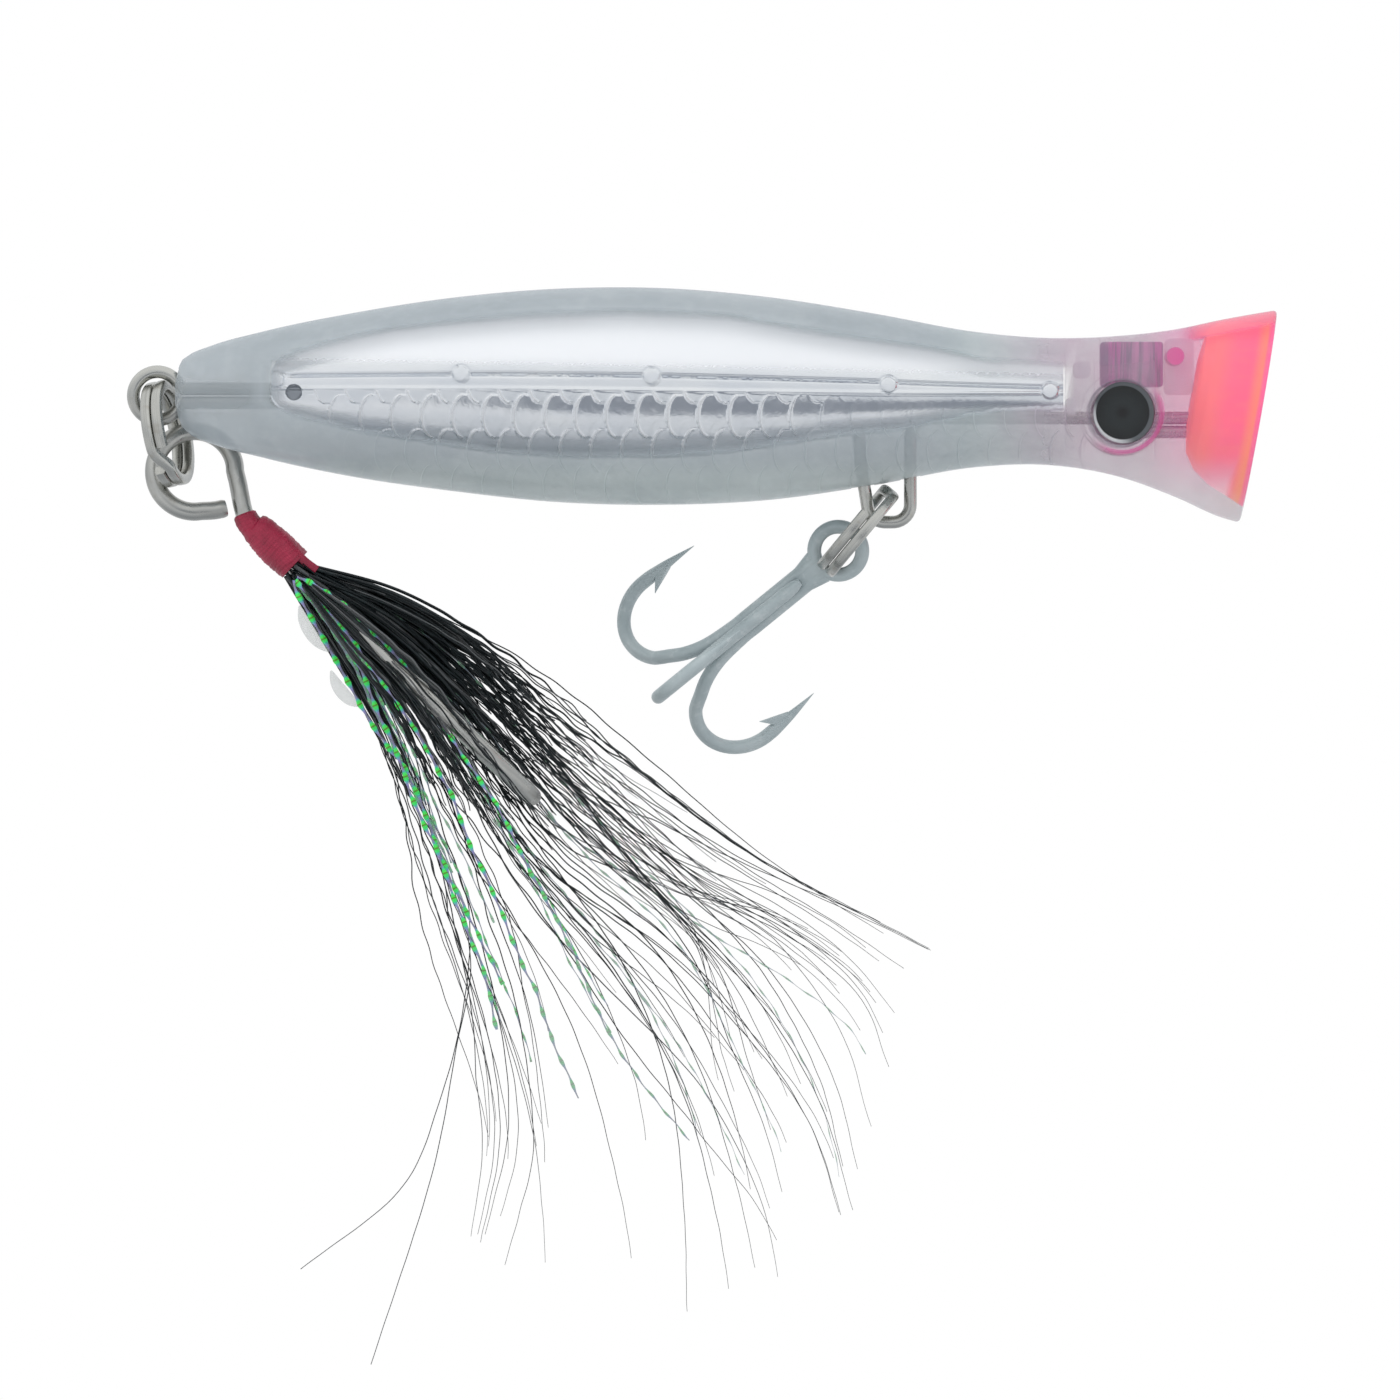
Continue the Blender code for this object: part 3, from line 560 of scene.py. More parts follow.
def cup_paint():
    material, tree = new_tree("cup_paint_look")
    place, x, z = side_view(tree)
    lean = x - z * FACE_LEAN
    depth = FACE_X - lean
    base = ramp(
        tree,
        map_range(tree, depth, 0.0, 6.6, kind="LINEAR"),
        [
            (0.0, (0.95, 0.10, 0.30)),
            (0.05, (1.0, 0.12, 0.22)),
            (0.09, (1.0, 0.27, 0.08)),
            (0.16, (1.0, 0.22, 0.12)),
            (0.24, (1.0, 0.135, 0.19)),
            (0.5, (1.0, 0.15, 0.19)),
            (0.72, (1.0, 0.20, 0.14)),
            (1.0, (1.0, 0.20, 0.14)),
        ],
    )
    streak = noise(tree, stretched(tree, place, (0.5, 0.5, 2.0)), 0.8, 3.0)
    base = mix_colour(tree, map_range(tree, streak, 0.45, 0.8, 0.0, 0.3), base, colour(1.0, 0.24, 0.13))
    near_rim = map_range(tree, depth, 2.3, 1.1)
    low = math_node(tree, "MAXIMUM", map_range(tree, z, -8.2, -3.6), near_rim)
    full = math_node(tree, "MAXIMUM", map_range(tree, z, -6.0, -2.5), near_rim)
    base = mix_colour(tree, full, colour(0.85, 0.35, 0.45), base)
    alpha = low * 0.83 + 0.14
    return principled(material, tree, {
        "Base Color": base,
        "Roughness": 0.3,
        "Alpha": alpha,
        # painted glow: the paint gives off light of its own through its emission
        "Emission Color": base,
        "Emission Strength": 0.25,
        "Normal": bump(tree, noise(tree, place, 2.5, 3.0), 0.1, 0.0001),
    })


def foil_look():
    material, tree = new_tree("silver_foil_look")
    place, x, z = side_view(tree)
    wave = noise(tree, stretched(tree, place, (0.25, 0.6, 1.0)), 0.6, 3.0)
    base = ramp(tree, wave, [(0.3, (0.82, 0.845, 0.88)), (0.7, (0.90, 0.915, 0.93))])
    line = tone_value(tree)
    base = mix_colour(tree, line * 0.7, base, colour(1.0, 1.0, 1.0))
    # painted shade: a dark spot is drawn where the foil dips in at the peep hole
    peep_hole_painted_shade = spot(tree, x, z, PEEP_HOLE, 0.72, 0.1)
    base = mix_colour(tree, peep_hole_painted_shade * 0.8, base, colour(0.18, 0.2, 0.23))
    rough = map_range(tree, noise(tree, place, 1.7, 4.0), 0.3, 0.8, 0.10, 0.2)
    rough = rough + line * 0.45
    # painted reflection: above a slanted line the foil turns whiter, rougher and less metallic, so its top
    # reads bright as if catching light from above
    above = z + (x + 70.0) * 0.02
    bright_top_painted_reflection = map_range(tree, above, 5.2, 6.6)
    rough = rough + bright_top_painted_reflection * 0.3
    metal = 1.0 - bright_top_painted_reflection * 0.75
    base = mix_colour(tree, bright_top_painted_reflection, base, colour(0.93, 0.94, 0.96))
    crinkle = bump(tree, noise(tree, place, 1.1, 4.0, 0.6), 0.22, 0.0001)
    return principled(
        material, tree, {"Base Color": base, "Metallic": metal, "Roughness": rough, "Normal": crinkle}
    )


def steel_look(name, tone, rough_low, rough_high, streaks, stain):
    """Drawn wire. streaks is how many lines run along it, and stain the share of warm marks."""
    material, tree = new_tree(name)
    uv = along_uv(tree)
    place = object_place(tree)
    lines = noise(tree, stretched(tree, uv, (0.12, streaks, 1.0)), 1.0, 3.0)
    marks = noise(tree, place, 0.9, 5.0, 0.6)
    dark = tuple(v * 0.72 for v in tone)
    base = ramp(tree, lines, [(0.3, dark), (0.62, tone)])
    warm = map_range(tree, marks, 0.55, 0.75, 0.0, stain)
    base = mix_colour(tree, warm, base, colour(0.33, 0.27, 0.19))
    rough = map_range(tree, marks, 0.3, 0.8, rough_low, rough_high)
    return principled(
        material,
        tree,
        {"Base Color": base, "Metallic": 1.0, "Roughness": rough, "Normal": bump(tree, lines, 0.35, 0.00006)},
    )


def coated_look():
    material, tree = new_tree("coated_hook_look")
    place = object_place(tree)
    grain = noise(tree, place, 2.2, 2.0)
    base = ramp(
        tree, noise(tree, place, 0.35, 3.0), [(0.3, (0.39, 0.455, 0.47)), (0.7, (0.49, 0.555, 0.565))]
    )
    worn = map_range(tree, noise(tree, place, 1.4, 2.0), 0.58, 0.72, 0.0, 0.5)
    base = mix_colour(tree, worn, base, colour(0.56, 0.61, 0.62))
    return principled(material, tree, {
        "Base Color": base,
        "Metallic": 0.25,
        "Roughness": map_range(tree, grain, 0.3, 0.7, 0.4, 0.5),
        "Normal": bump(tree, grain, 0.05, 0.00001),
    })


def lead_look():
    material, tree = new_tree("lead_look")
    place = object_place(tree)
    pits = noise(tree, place, 2.2, 6.0, 0.65)
    base = ramp(tree, pits, [(0.3, (0.16, 0.165, 0.175)), (0.7, (0.34, 0.345, 0.36))])
    return principled(
        material,
        tree,
        {"Base Color": base, "Metallic": 0.7, "Roughness": 0.6, "Normal": bump(tree, pits, 0.5, 0.0001)},
    )


def eye_foil_look():
    material, tree = new_tree("eye_foil_look")
    place, x, z = side_view(tree)
    across = (x - EYE_X) / math.cos(EYE_YAW)
    up = z - EYE_Z
    reach = distance(tree, across, up)
    pupil = map_range(tree, reach, 2.62, 2.5)
    dot = map_range(tree, reach, 0.55, 0.3)
    dark = ramp(
        tree,
        map_range(tree, reach, 0.0, 2.6, kind="LINEAR"),
        [(0.0, (0.002, 0.003, 0.003)), (0.4, (0.011, 0.015, 0.017)), (1.0, (0.003, 0.005, 0.005))],
    )
    dark = mix_colour(tree, dot, dark, colour(0.001, 0.001, 0.001))
    silver = ramp(
        tree,
        noise(tree, place, 3.0, 2.0),
        [(0.3, (0.75, 0.76, 0.77)), (0.7, (0.9, 0.9, 0.9))],
    )
    # painted reflection: the silver ring is bright only at its lower left and dark grey elsewhere
    painted_glint_low_left = map_range(tree, across + up, -1.2, -3.4, 0.0, 1.0)
    silver = mix_colour(tree, painted_glint_low_left, colour(0.16, 0.17, 0.18), silver)
    base = mix_colour(tree, pupil, silver, dark)
    return principled(
        material,
        tree,
        {
            "Base Color": base,
            "Metallic": 1.0 - pupil,
            "Roughness": map_range(tree, noise(tree, place, 4.0), 0.3, 0.7, 0.28, 0.4),
        },
    )


def eye_resin_look():
    material, tree = new_tree("eye_resin_look")
    place = object_place(tree)
    facing = facing_away(tree, 0.35)
    alpha = map_range(tree, facing, 0.1, 0.95, 0.005, 0.4)
    tint = ramp(tree, noise(tree, place, 1.0), [(0.3, (0.40, 0.43, 0.45)), (0.7, (0.5, 0.52, 0.54))])
    return principled(material, tree, {"Base Color": tint, "Roughness": 0.03, "IOR": 1.5, "Alpha": alpha})


def thread_look():
    material, tree = new_tree("crimson_thread_look")
    place = object_place(tree)
    uv = along_uv(tree)
    strand = noise(tree, stretched(tree, uv, (0.6, 60.0, 1.0)), 1.0, 4.0, 0.7)
    blotch = noise(tree, place, 0.55, 3.0)
    base = ramp(
        tree, blotch, [(0.3, (0.24, 0.010, 0.035)), (0.55, (0.36, 0.012, 0.050)), (0.8, (0.44, 0.018, 0.065))]
    )
    base = mix_colour(tree, map_range(tree, strand, 0.35, 0.7, 0.0, 0.4), base, colour(0.20, 0.008, 0.03))
    return principled(material, tree, {
        "Base Color": base,
        "Roughness": map_range(tree, strand, 0.3, 0.7, 0.35, 0.6),
        "Coat Weight": 0.1,
        "Coat Roughness": 0.25,
        "Normal": bump(tree, strand, 0.5, 0.00006),
    })


def hair_look():
    material, tree = new_tree("black_hair_look")
    along = part_of(tree, along_uv(tree), 0)
    place = object_place(tree)
    fade = map_range(tree, along, 40.0, 80.0, 0.0, 0.8)
    base = mix_colour(tree, fade, colour(0.006, 0.010, 0.012), colour(0.03, 0.036, 0.04))
    base = mix_colour(
        tree, map_range(tree, noise(tree, place, 0.9), 0.5, 0.7, 0.0, 0.6), base, colour(0.018, 0.03, 0.032)
    )
    base = mix_colour(tree, tone_value(tree) * 0.8, base, colour(0.16, 0.165, 0.17))
    return principled(material, tree, {"Base Color": base, "Roughness": 0.45, "Specular IOR Level": 0.35})


def flash_look():
    material, tree = new_tree("green_flash_look")
    along = part_of(tree, along_uv(tree), 0)
    cycle = math_node(tree, "FRACT", along / FLASH_TURN)
    bright = ramp(
        tree,
        cycle,
        [
            (0.0, (0.20, 0.20, 0.27)),
            (0.20, (0.24, 0.24, 0.42)),
            (0.28, (0.10, 0.40, 0.42)),
            (0.34, (0.05, 0.80, 0.16)),
            (0.44, (0.08, 0.72, 0.06)),
            (0.485, (0.10, 0.12, 0.02)),
            (0.53, (0.06, 0.70, 0.09)),
            (0.62, (0.04, 0.74, 0.16)),
            (0.70, (0.10, 0.42, 0.45)),
            (0.80, (0.27, 0.25, 0.52)),
            (1.0, (0.20, 0.20, 0.27)),
        ],
    )
    calm = math_node(tree, "MAXIMUM", map_range(tree, along, 36.0, 56.0, 0.0, 0.85), tone_value(tree))
    pale = mix_colour(tree, 0.22, colour(0.27, 0.32, 0.33), bright)
    base = mix_colour(tree, calm, bright, pale)
    return principled(material, tree, {
        "Base Color": base,
        "Metallic": 0.1,
        "Roughness": 0.3,
        # painted glow: the ribbons give off light of their own through their emission
        "Emission Color": base,
        "Emission Strength": 0.10,
        "Alpha": map_range(tree, calm, 0.0, 1.0, 0.98, 0.6, kind="LINEAR"),
    })


def film_look():
    material, tree = new_tree("clear_scale_look")
    place = object_place(tree)
    veins = noise(tree, stretched(tree, place, (1.0, 1.0, 0.3)), 3.0, 3.0)
    return principled(material, tree, {
        "Base Color": ramp(tree, veins, [(0.3, (0.5, 0.53, 0.53)), (0.7, (0.62, 0.65, 0.65))]),
        "Roughness": 0.3,
        "Alpha": 0.32,
    })


def floor_look():
    material, tree = new_tree("floor_look")
    place = object_place(tree)
    return principled(material, tree, {
        "Base Color": ramp(
            tree, noise(tree, place, 0.02), [(0.3, (0.82, 0.82, 0.82)), (0.7, (0.84, 0.84, 0.84))]
        ),
        "Roughness": 0.9,
    })


CLEAR = clear_plastic()
CUP = cup_paint()
FOIL = foil_look()
STEEL = steel_look("stainless_look", (0.60, 0.60, 0.565), 0.2, 0.38, 5.0, 0.35)
TINNED = steel_look("tinned_hook_look", (0.56, 0.56, 0.53), 0.25, 0.42, 7.0, 0.25)
COATED = coated_look()
LEAD = lead_look()
EYE_FOIL = eye_foil_look()
EYE_RESIN = eye_resin_look()
THREAD = thread_look()
HAIR = hair_look()
FLASH = flash_look()
FILM = film_look()
MOULDING = moulding_look()

# ---------------------------------------------------------------- body


def eye_matrix(side):
    middle, half, width = (float(v) for v in section(EYE_X))
    reach = width * math.sqrt(1.0 - ((EYE_Z - middle) / half) ** 2)
    out = Vector((-math.sin(EYE_YAW), side * math.cos(EYE_YAW), 0.0))
    across = Vector((0.0, 0.0, 1.0)).cross(out)
    place = Matrix((across, out.cross(across), out)).transposed().to_4x4()
    place.translation = Vector((EYE_X, side * reach, EYE_Z))
    return place


def half_ring(x0, lean, inset, side, flat, count):
    """A D-shaped ring on the body's surface in the plane x = x0 + lean * z, drawn in by inset."""
    a = np.radians(np.linspace(90.0, -90.0, count))
    x = np.full(count, float(x0))
    z = np.zeros(count)
    for _ in range(12):
        middle, half, width = section(x)
        z = middle + (half - inset) * np.sin(a)
        x = x0 + lean * z
    start = max(flat, 0.0)
    y = side * (start + (width - inset - start) * np.cos(a))
    ring = [tuple(p) for p in np.stack([x, y, z], axis=1)]
    if flat < 0:
        ring.append((x[-1], side * flat, z[-1]))
        ring.append((x[0], side * flat, z[0]))
    return ring


def outer_half(side):
    """The outside of one half, with its nose rings turned into the slanted face and a rounded rim."""
    seam = 0.03
    rings = []
    xs = np.concatenate(
        [[-100.5, -100.42, -100.28, -100.1, -99.8, -99.4, -98.9, -98.2], np.linspace(-97.3, 1.9, 118)]
    )
    for x in xs:
        share = float(smoothstep(-30.0, 1.0, x))
        rings.append(half_ring(x, FACE_LEAN * share, 0.0, side, seam, 41))
    for back, inset in ((0.34, 0.0), (0.2, 0.05), (0.09, 0.13), (0.02, 0.24), (0.0, 0.34)):
        rings.append(half_ring(FACE_X - back, FACE_LEAN, inset, side, seam, 41))
    return loft("body_half", rings)


def cup_solid():
    middle = (FACE_TOP + FACE_BOTTOM) / 2
    up = (FACE_TOP - FACE_BOTTOM).normalized()
    inward = Vector((-up.y, up.x))
    depths = np.concatenate([[-2.0], np.linspace(-0.2, 5.2, 14), np.linspace(5.4, 6.6, 7)])
    rings = []
    for depth in depths:
        low, high, width = (np.interp(depth, CUP_SECTIONS[:, 0], CUP_SECTIONS[:, k]) for k in (1, 2, 3))
        ring = []
        for a in np.linspace(0.0, 2 * math.pi, 72, endpoint=False):
            along = (low + high) / 2 + (high - low) / 2 * math.sin(a)
            place = middle + inward * depth + up * along
            ring.append((place.x, width * math.cos(a), place.y))
        rings.append(ring)
    return loft("cup_tool", rings)


def turned_rings(profile, place, sides):
    """Rings of points round the local Z of place, one for each (radius, height)."""
    turns = np.linspace(0.0, 2 * math.pi, sides, endpoint=False)
    return [[tuple(place @ Vector((r * math.cos(a), r * math.sin(a), h))) for a in turns] for r, h in profile]


def disc_solid(name, radius, low, high, place, edge=0.0):
    """A turned disc along the local Z of place, with its top edge rounded by edge."""
    profile = [(radius, low)]
    for a in np.radians(np.linspace(0.0, 90.0, 5 if edge else 2)):
        profile.append((radius - edge + edge * math.cos(a), high - edge + edge * math.sin(a)))
    return loft(name, turned_rings(profile, place, 72))


def box_solid(name, low, high):
    (x0, y0, z0), (x1, y1, z1) = low, high
    ring = [(x0, y0), (x1, y0), (x1, y1), (x0, y1)]
    return loft(name, [[(x, y, z0) for x, y in ring], [(x, y, z1) for x, y in ring]])


def carve(mesh, steps):
    """Applies Booleans in order and returns the resulting mesh. Each step is (operation, mesh)."""
    host = new_object("host", mesh)
    tools = []
    for operation, tool in steps:
        other = new_object("tool", tool)
        tools.append(other)
        modifier = host.modifiers.new("cut", "BOOLEAN")
        modifier.operation = operation
        modifier.solver = "EXACT"
        modifier.material_mode = "TRANSFER"
        modifier.object = other
    bpy.context.view_layer.update()
    made = bpy.data.meshes.new_from_object(host.evaluated_get(bpy.context.evaluated_depsgraph_get()))
    for other in tools:
        bpy.data.objects.remove(other, do_unlink=True)
    bpy.data.objects.remove(host, do_unlink=True)
    return made


FOIL_TOP = np.array(
    [
        (-91.3, 5.9), (-90.2, 6.6), (-88.3, 7.4), (-84.8, 8.4), (-79.8, 9.5), (-73.4, 10.2), (-67.0, 10.75),
        (-57.5, 11.1), (-47.9, 10.7), (-44.1, 10.0), (-37.8, 8.9), (-31.4, 8.05), (-28.3, 7.6),
        (-25.1, 6.9), (-22.9, 6.35), (-20.3, 6.4), (-15.5, 5.9), (-13.8, 5.5),
    ]
)
FOIL_LOW = np.array(
    [
        (-91.3, 1.6), (-89.3, 0.8), (-86.0, 0.0), (-82.9, -0.75), (-76.5, -1.7), (-70.2, -2.65),
        (-63.8, -3.1), (-54.3, -3.1), (-47.9, -2.65), (-44.1, -2.1), (-37.8, -1.15), (-31.4, -0.5),
        (-28.3, 0.15), (-25.1, 0.75), (-21.9, 1.2), (-15.9, 1.4), (-13.8, 1.6),
    ]
)
RIDGE = np.array(
    [(-91.3, 4.57), (-70.0, 4.67), (-54.0, 4.48), (-34.6, 4.0), (-28.0, 3.75), (-18.7, 3.5), (-13.8, 3.5)]
)
STRIP = np.array([(-91.3, 3.3), (-70.0, 3.25), (-50.0, 3.0), (-34.6, 2.85), (-28.0, 2.85), (-13.8, 2.9)])
FOIL_START, FOIL_END = -91.25, -15.95
FOIL_INSET = 1.85
BOSSES = ((-90.8, 4.3), (-73.2, 4.75), (-55.1, 4.5), (-32.6, 3.75), (-17.2, 3.2))


def outline(x, side):
    """Height of the insert's upper (side 1) or lower (side -1) edge at x."""
    table = FOIL_TOP if side > 0 else FOIL_LOW
    return np.interp(x, table[:, 0], table[:, 1])


def body_half(label, side):
    shell = outer_half(side)
    place = eye_matrix(side)
    cavity = loft("cavity", [half_ring(x, 0.0, WALL, side, -1.0, 33) for x in np.linspace(*MAIN_CAVITY, 70)])
    head = loft("head", [half_ring(x, 0.0, 2.2, side, -1.0, 25) for x in np.linspace(*HEAD_CAVITY, 12)])
    cup = cup_solid()
    steps = [
        ("UNION", disc_solid("boss", 3.95, -2.4, 0.35, place, edge=0.3)),
        ("DIFFERENCE", cavity),
        ("DIFFERENCE", head),
        ("DIFFERENCE", disc_solid("recess", 3.1, -1.15, 2.0, place)),
        ("DIFFERENCE", box_solid("tail_slot", (-102.0, -0.95, 1.17), (-92.0, 0.95, 4.39))),
        ("DIFFERENCE", box_solid("tail_mouth", (-102.0, -0.95, 0.2), (-99.3, 0.95, 5.36))),
        ("DIFFERENCE", box_solid("head_slot", (-16.7, -0.95, -0.3), (-9.0, 0.95, 1.61))),
        ("DIFFERENCE", box_solid("nose_slot", (-8.2, -0.95, -1.61), (-3.4, 0.95, 1.61))),
        ("DIFFERENCE", box_solid("hanger_rear", (-36.1, -0.95, -9.0), (-33.9, 0.95, -3.0))),
        ("DIFFERENCE", box_solid("hanger_front", (-31.41, -0.95, -9.0), (-29.51, 0.95, -3.0))),
    ]
    shell.materials.append(CLEAR)
    for _, tool in steps:
        tool.materials.append(CLEAR)
    cup.materials.append(CUP)
    steps.append(("DIFFERENCE", cup))
    mesh = carve(shell, steps)
    points = np.empty(len(mesh.vertices) * 3, np.float32)
    mesh.vertices.foreach_get("co", points)
    x, _, z = points.reshape(-1, 3).T / MM
    inside = smoothstep(0.0, 0.7, outline(x, 1) - z) * smoothstep(0.0, 0.7, z - outline(x, -1))
    inside *= smoothstep(-91.6, -90.8, x) * smoothstep(-15.0, -15.8, x)
    head_share = smoothstep(-22.0, -12.0, x)
    wire_hint = np.exp(-(((z - 2.9) / 1.6) ** 2)) * smoothstep(-92.0, -95.0, x)
    set_tone(mesh, (1.0 - inside) * (1.0 - 0.5 * head_share) * (1.0 - 0.45 * wire_hint))
    return add_piece(
        f"clear_half_{label}", mesh, None, "lure_body", (f"body_shell_{label}",), 35.0
    )


body_half("right", -1)
body_half("left", 1)


def rounded_block(low, high, edge):
    """A box whose outline seen along Y has rounded corners."""
    (x0, y0, z0), (x1, y1, z1) = low, high
    flat = rounded_box((x1 - x0) / 2, (z1 - z0) / 2, edge, 5) + ((x0 + x1) / 2, (z0 + z1) / 2)
    return [[(x, y, z) for x, z in flat] for y in (y0, y1)]


def head_mouldings(label, side):
    """The panel, plate, peg and windows moulded inside one side of the head."""
    parts = []

    def block(low, high, edge):
        rings = rounded_block(low, high, edge)
        size = len(rings[0])
        faces = strip_faces(2, size) + [tuple(range(size)), tuple(range(size, 2 * size))]
        parts.append((np.concatenate(rings), faces, np.zeros((2 * size, 2))))

    block((-12.4, side * 0.9, 3.6), (-6.4, side * 1.9, 7.9), 0.35)
    block((-6.25, side * 2.2, 2.9), (-3.5, side * 2.8, 8.2), 0.5)
    block((-6.15, side * 3.0, 5.65), (-4.45, side * 4.1, 7.35), 0.84)
    block((-14.9, side * 3.5, 4.5), (-13.35, side * 4.1, 6.0), 0.4)
    block((-15.6, side * 4.5, 0.85), (-14.75, side * 5.0, 2.6), 0.3)
    return add_merged(f"head_moulding_{label}", parts, MOULDING, "lure_body", (), 35.0)


# ---------------------------------------------------------------- foil inserts

def scale_height(x, z):
    """Height of overlapping scales whose free edges bulge towards the tail, and nearness to such an edge."""
    best = np.full(x.shape, -1e9)
    height = np.zeros(x.shape)
    line = np.zeros(x.shape)
    for row in range(-2, 2):
        zc = SCALE_Z0 + row * SCALE_ROW
        u = np.abs(z - zc) / SCALE_Z
        inside = u < 1.0
        bulge = SCALE_X * np.sqrt(np.clip(1.0 - u**2, 0.0, 1.0))
        offset = (row % 2) * SCALE_PITCH / 2
        first = np.floor((x + bulge - offset) / SCALE_PITCH)
        centre = first * SCALE_PITCH + offset
        past = x - (centre - bulge)
        take = inside & (centre > best)
        best = np.where(take, centre, best)
        height = np.where(take, 0.15 - 0.055 * past, height)
        line = np.where(take, np.exp(-((past - 0.12) / 0.10) ** 2), line)
    return height, line


def foil_insert(label, side):
    length = np.linspace(FOIL_START, FOIL_END, 620)
    rows, columns, behind = len(length), 118, 8
    share = np.linspace(0.0, 1.0, columns)
    x = np.repeat(length[:, None], columns, axis=1)
    wobble = 0.05 * np.sin(length * 3.1) + 0.05 * np.sin(length * 7.7 + 1.0)
    corner = np.sqrt(np.clip(1.0 - np.clip(1.0 - (length - FOIL_START) / 1.6, 0.0, 1.0) ** 2, 0.0, 1.0))
    saw = 0.16 * np.abs(((length + 0.4) / SCALE_PITCH) % 1.0 - 0.5) * smoothstep(-86.0, -80.0, length)
    top = np.interp(length, FOIL_TOP[:, 0], FOIL_TOP[:, 1]) + wobble
    low = np.interp(length, FOIL_LOW[:, 0], FOIL_LOW[:, 1]) + 0.6 * wobble[::-1] - saw
    centre = (top + low) / 2
    top = centre + (top - centre) * (0.6 + 0.4 * corner)
    low = centre + (low - centre) * (0.6 + 0.4 * corner)
    z = top[:, None] + (low - top)[:, None] * share[None, :]
    middle, half, width = (v[:, None] for v in section(length))
    lift = np.clip((z - middle) / (half - FOIL_INSET), -0.995, 0.995)
    surface_y = (width - FOIL_INSET) * np.sqrt(1.0 - lift**2)
    ridge = np.interp(length, RIDGE[:, 0], RIDGE[:, 1])[:, None]
    strip = np.interp(length, STRIP[:, 0], STRIP[:, 1])[:, None]
    scales, line = scale_height(x, z)
    lower = smoothstep(-0.1, 0.2, strip - z) * smoothstep(-89.0, -86.0, x) * smoothstep(-33.0, -52.0, x)
    ends = 0.5 + 0.5 * smoothstep(-89.0, -80.0, x)
    out = lower * ends * (0.8 * scales + 0.09 * line)
    out += -0.22 * np.exp(-(((z - ridge) / 0.11) ** 2)) * smoothstep(-90.0, -88.5, x)
    out += 0.16 * smoothstep(ridge + 0.05, ridge + 0.4, z)
    out += 0.14 * np.exp(-(((z - strip - 0.12) / 0.16) ** 2))
    out += 0.10 * smoothstep(0.5, 0.0, z - low[:, None])
    for bx, bz in BOSSES:
        reach = np.hypot(x - bx, z - bz)
        out = out * (1.0 - smoothstep(1.0, 0.75, reach)) + 0.3 * smoothstep(0.85, 0.65, reach)
    out -= 0.5 * smoothstep(0.78, 0.66, np.hypot(x - PEEP_HOLE[0], z - PEEP_HOLE[1]))
    y = surface_y + out
    front = np.stack([x, side * y, z], axis=2).reshape(-1, 3)
    pick = np.linspace(0, columns - 1, behind).round().astype(int)
    smooth_y = surface_y - 0.7
    back = np.stack([x[:, pick], side * smooth_y[:, pick], z[:, pick]], axis=2).reshape(-1, 3)
    count = rows * columns
    faces = strip_faces(rows, columns, closed=False)
    faces += strip_faces(rows, behind, closed=False, start=count)
    for r in range(rows - 1):
        for c, d in ((0, 0), (columns - 1, behind - 1)):
            a, b = r * columns + c, count + r * behind + d
            faces.append((a, a + columns, b + behind, b))
    for r in (0, rows - 1):
        first, other = r * columns, count + r * behind
        faces.append((*range(first, first + columns), *range(other + behind - 1, other - 1, -1)))
    tone = np.concatenate([(line * lower * ends).reshape(-1), np.zeros(rows * behind)])
    mesh = outward(make_mesh(f"silver_insert_{label}", np.concatenate([front, back]), faces, None, tone))
    return add_piece(
        f"silver_insert_{label}", mesh, FOIL, "lure_body", (f"foil_insert_{label}",), 60.0
    )


foil_insert("right", -1)
foil_insert("left", 1)

# ---------------------------------------------------------------- through-wire, weights, eyes


def rounded_corners(corners, step=5.0):
    points = [np.array(corners[0][:2], float)]
    for before, corner, after in zip(corners, corners[1:], corners[2:]):
        here = Vector(corner[:2])
        one = (Vector(before[:2]) - here).normalized()
        two = (Vector(after[:2]) - here).normalized()
        half = one.angle(two) / 2
        radius = corner[2]
        centre = here + (one + two).normalized() * radius / math.sin(half)
        start = here + one * radius / math.tan(half)
        end = here + two * radius / math.tan(half)
        first = math.atan2(start.y - centre.y, start.x - centre.x)
        turn = math.atan2(end.y - centre.y, end.x - centre.x) - first
        turn = (turn + math.pi) % (2 * math.pi) - math.pi
        for share in np.linspace(0.0, 1.0, max(3, int(abs(math.degrees(turn)) / step) + 2)):
            angle = first + turn * share
            points.append(
                np.array((centre.x + radius * math.cos(angle), centre.y + radius * math.sin(angle)))
            )
    points.append(np.array(corners[-1][:2], float))
    return np.array(points)


def through_wire():
    high, low = TAIL_LOOP[1] + LEG_HALF, TAIL_LOOP[1] - LEG_HALF
    spread = math.degrees(math.asin(LEG_HALF / TAIL_LOOP_RADIUS))
    loop = arc(TAIL_LOOP, TAIL_LOOP_RADIUS, spread, 360.0 - spread)
    run = rounded_corners(
        [
            (loop[-1][0] + 1.0, low),
            (-35.6, low, 2.0),
            (-35.15, -4.0, 6.0),
            (-34.3, -9.25, 1.65),
            (-30.46, -9.25, 1.65),
            (-30.46, LEG_HALF, 2.0),
            (-2.6, LEG_HALF),
        ]
    )
    spread = math.degrees(math.asin(LEG_HALF / TOW_EYE_RADIUS))
    tow = arc((0.0, 0.0), TOW_EYE_RADIUS, 180.0 - spread, -180.0 + spread)
    flat = np.concatenate([[(-90.5, high)], loop, run, tow, [(-12.0, -LEG_HALF)]])
    flat = resample(flat, 0.32)
    points = np.stack([flat[:, 0], np.zeros(len(flat)), flat[:, 1]], axis=1)
    wire = sweep_arrays(points, circle(WIRE_RADIUS, 20))
    return add_merged("rigging_wire", [wire], STEEL, "lure_body", ("through_wire",), 50.0)


through_wire()

for name in ("tail_weight", "belly_weight"):
    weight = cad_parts[name]
    weight.data.materials.clear()
    weight.data.materials.append(LEAD)


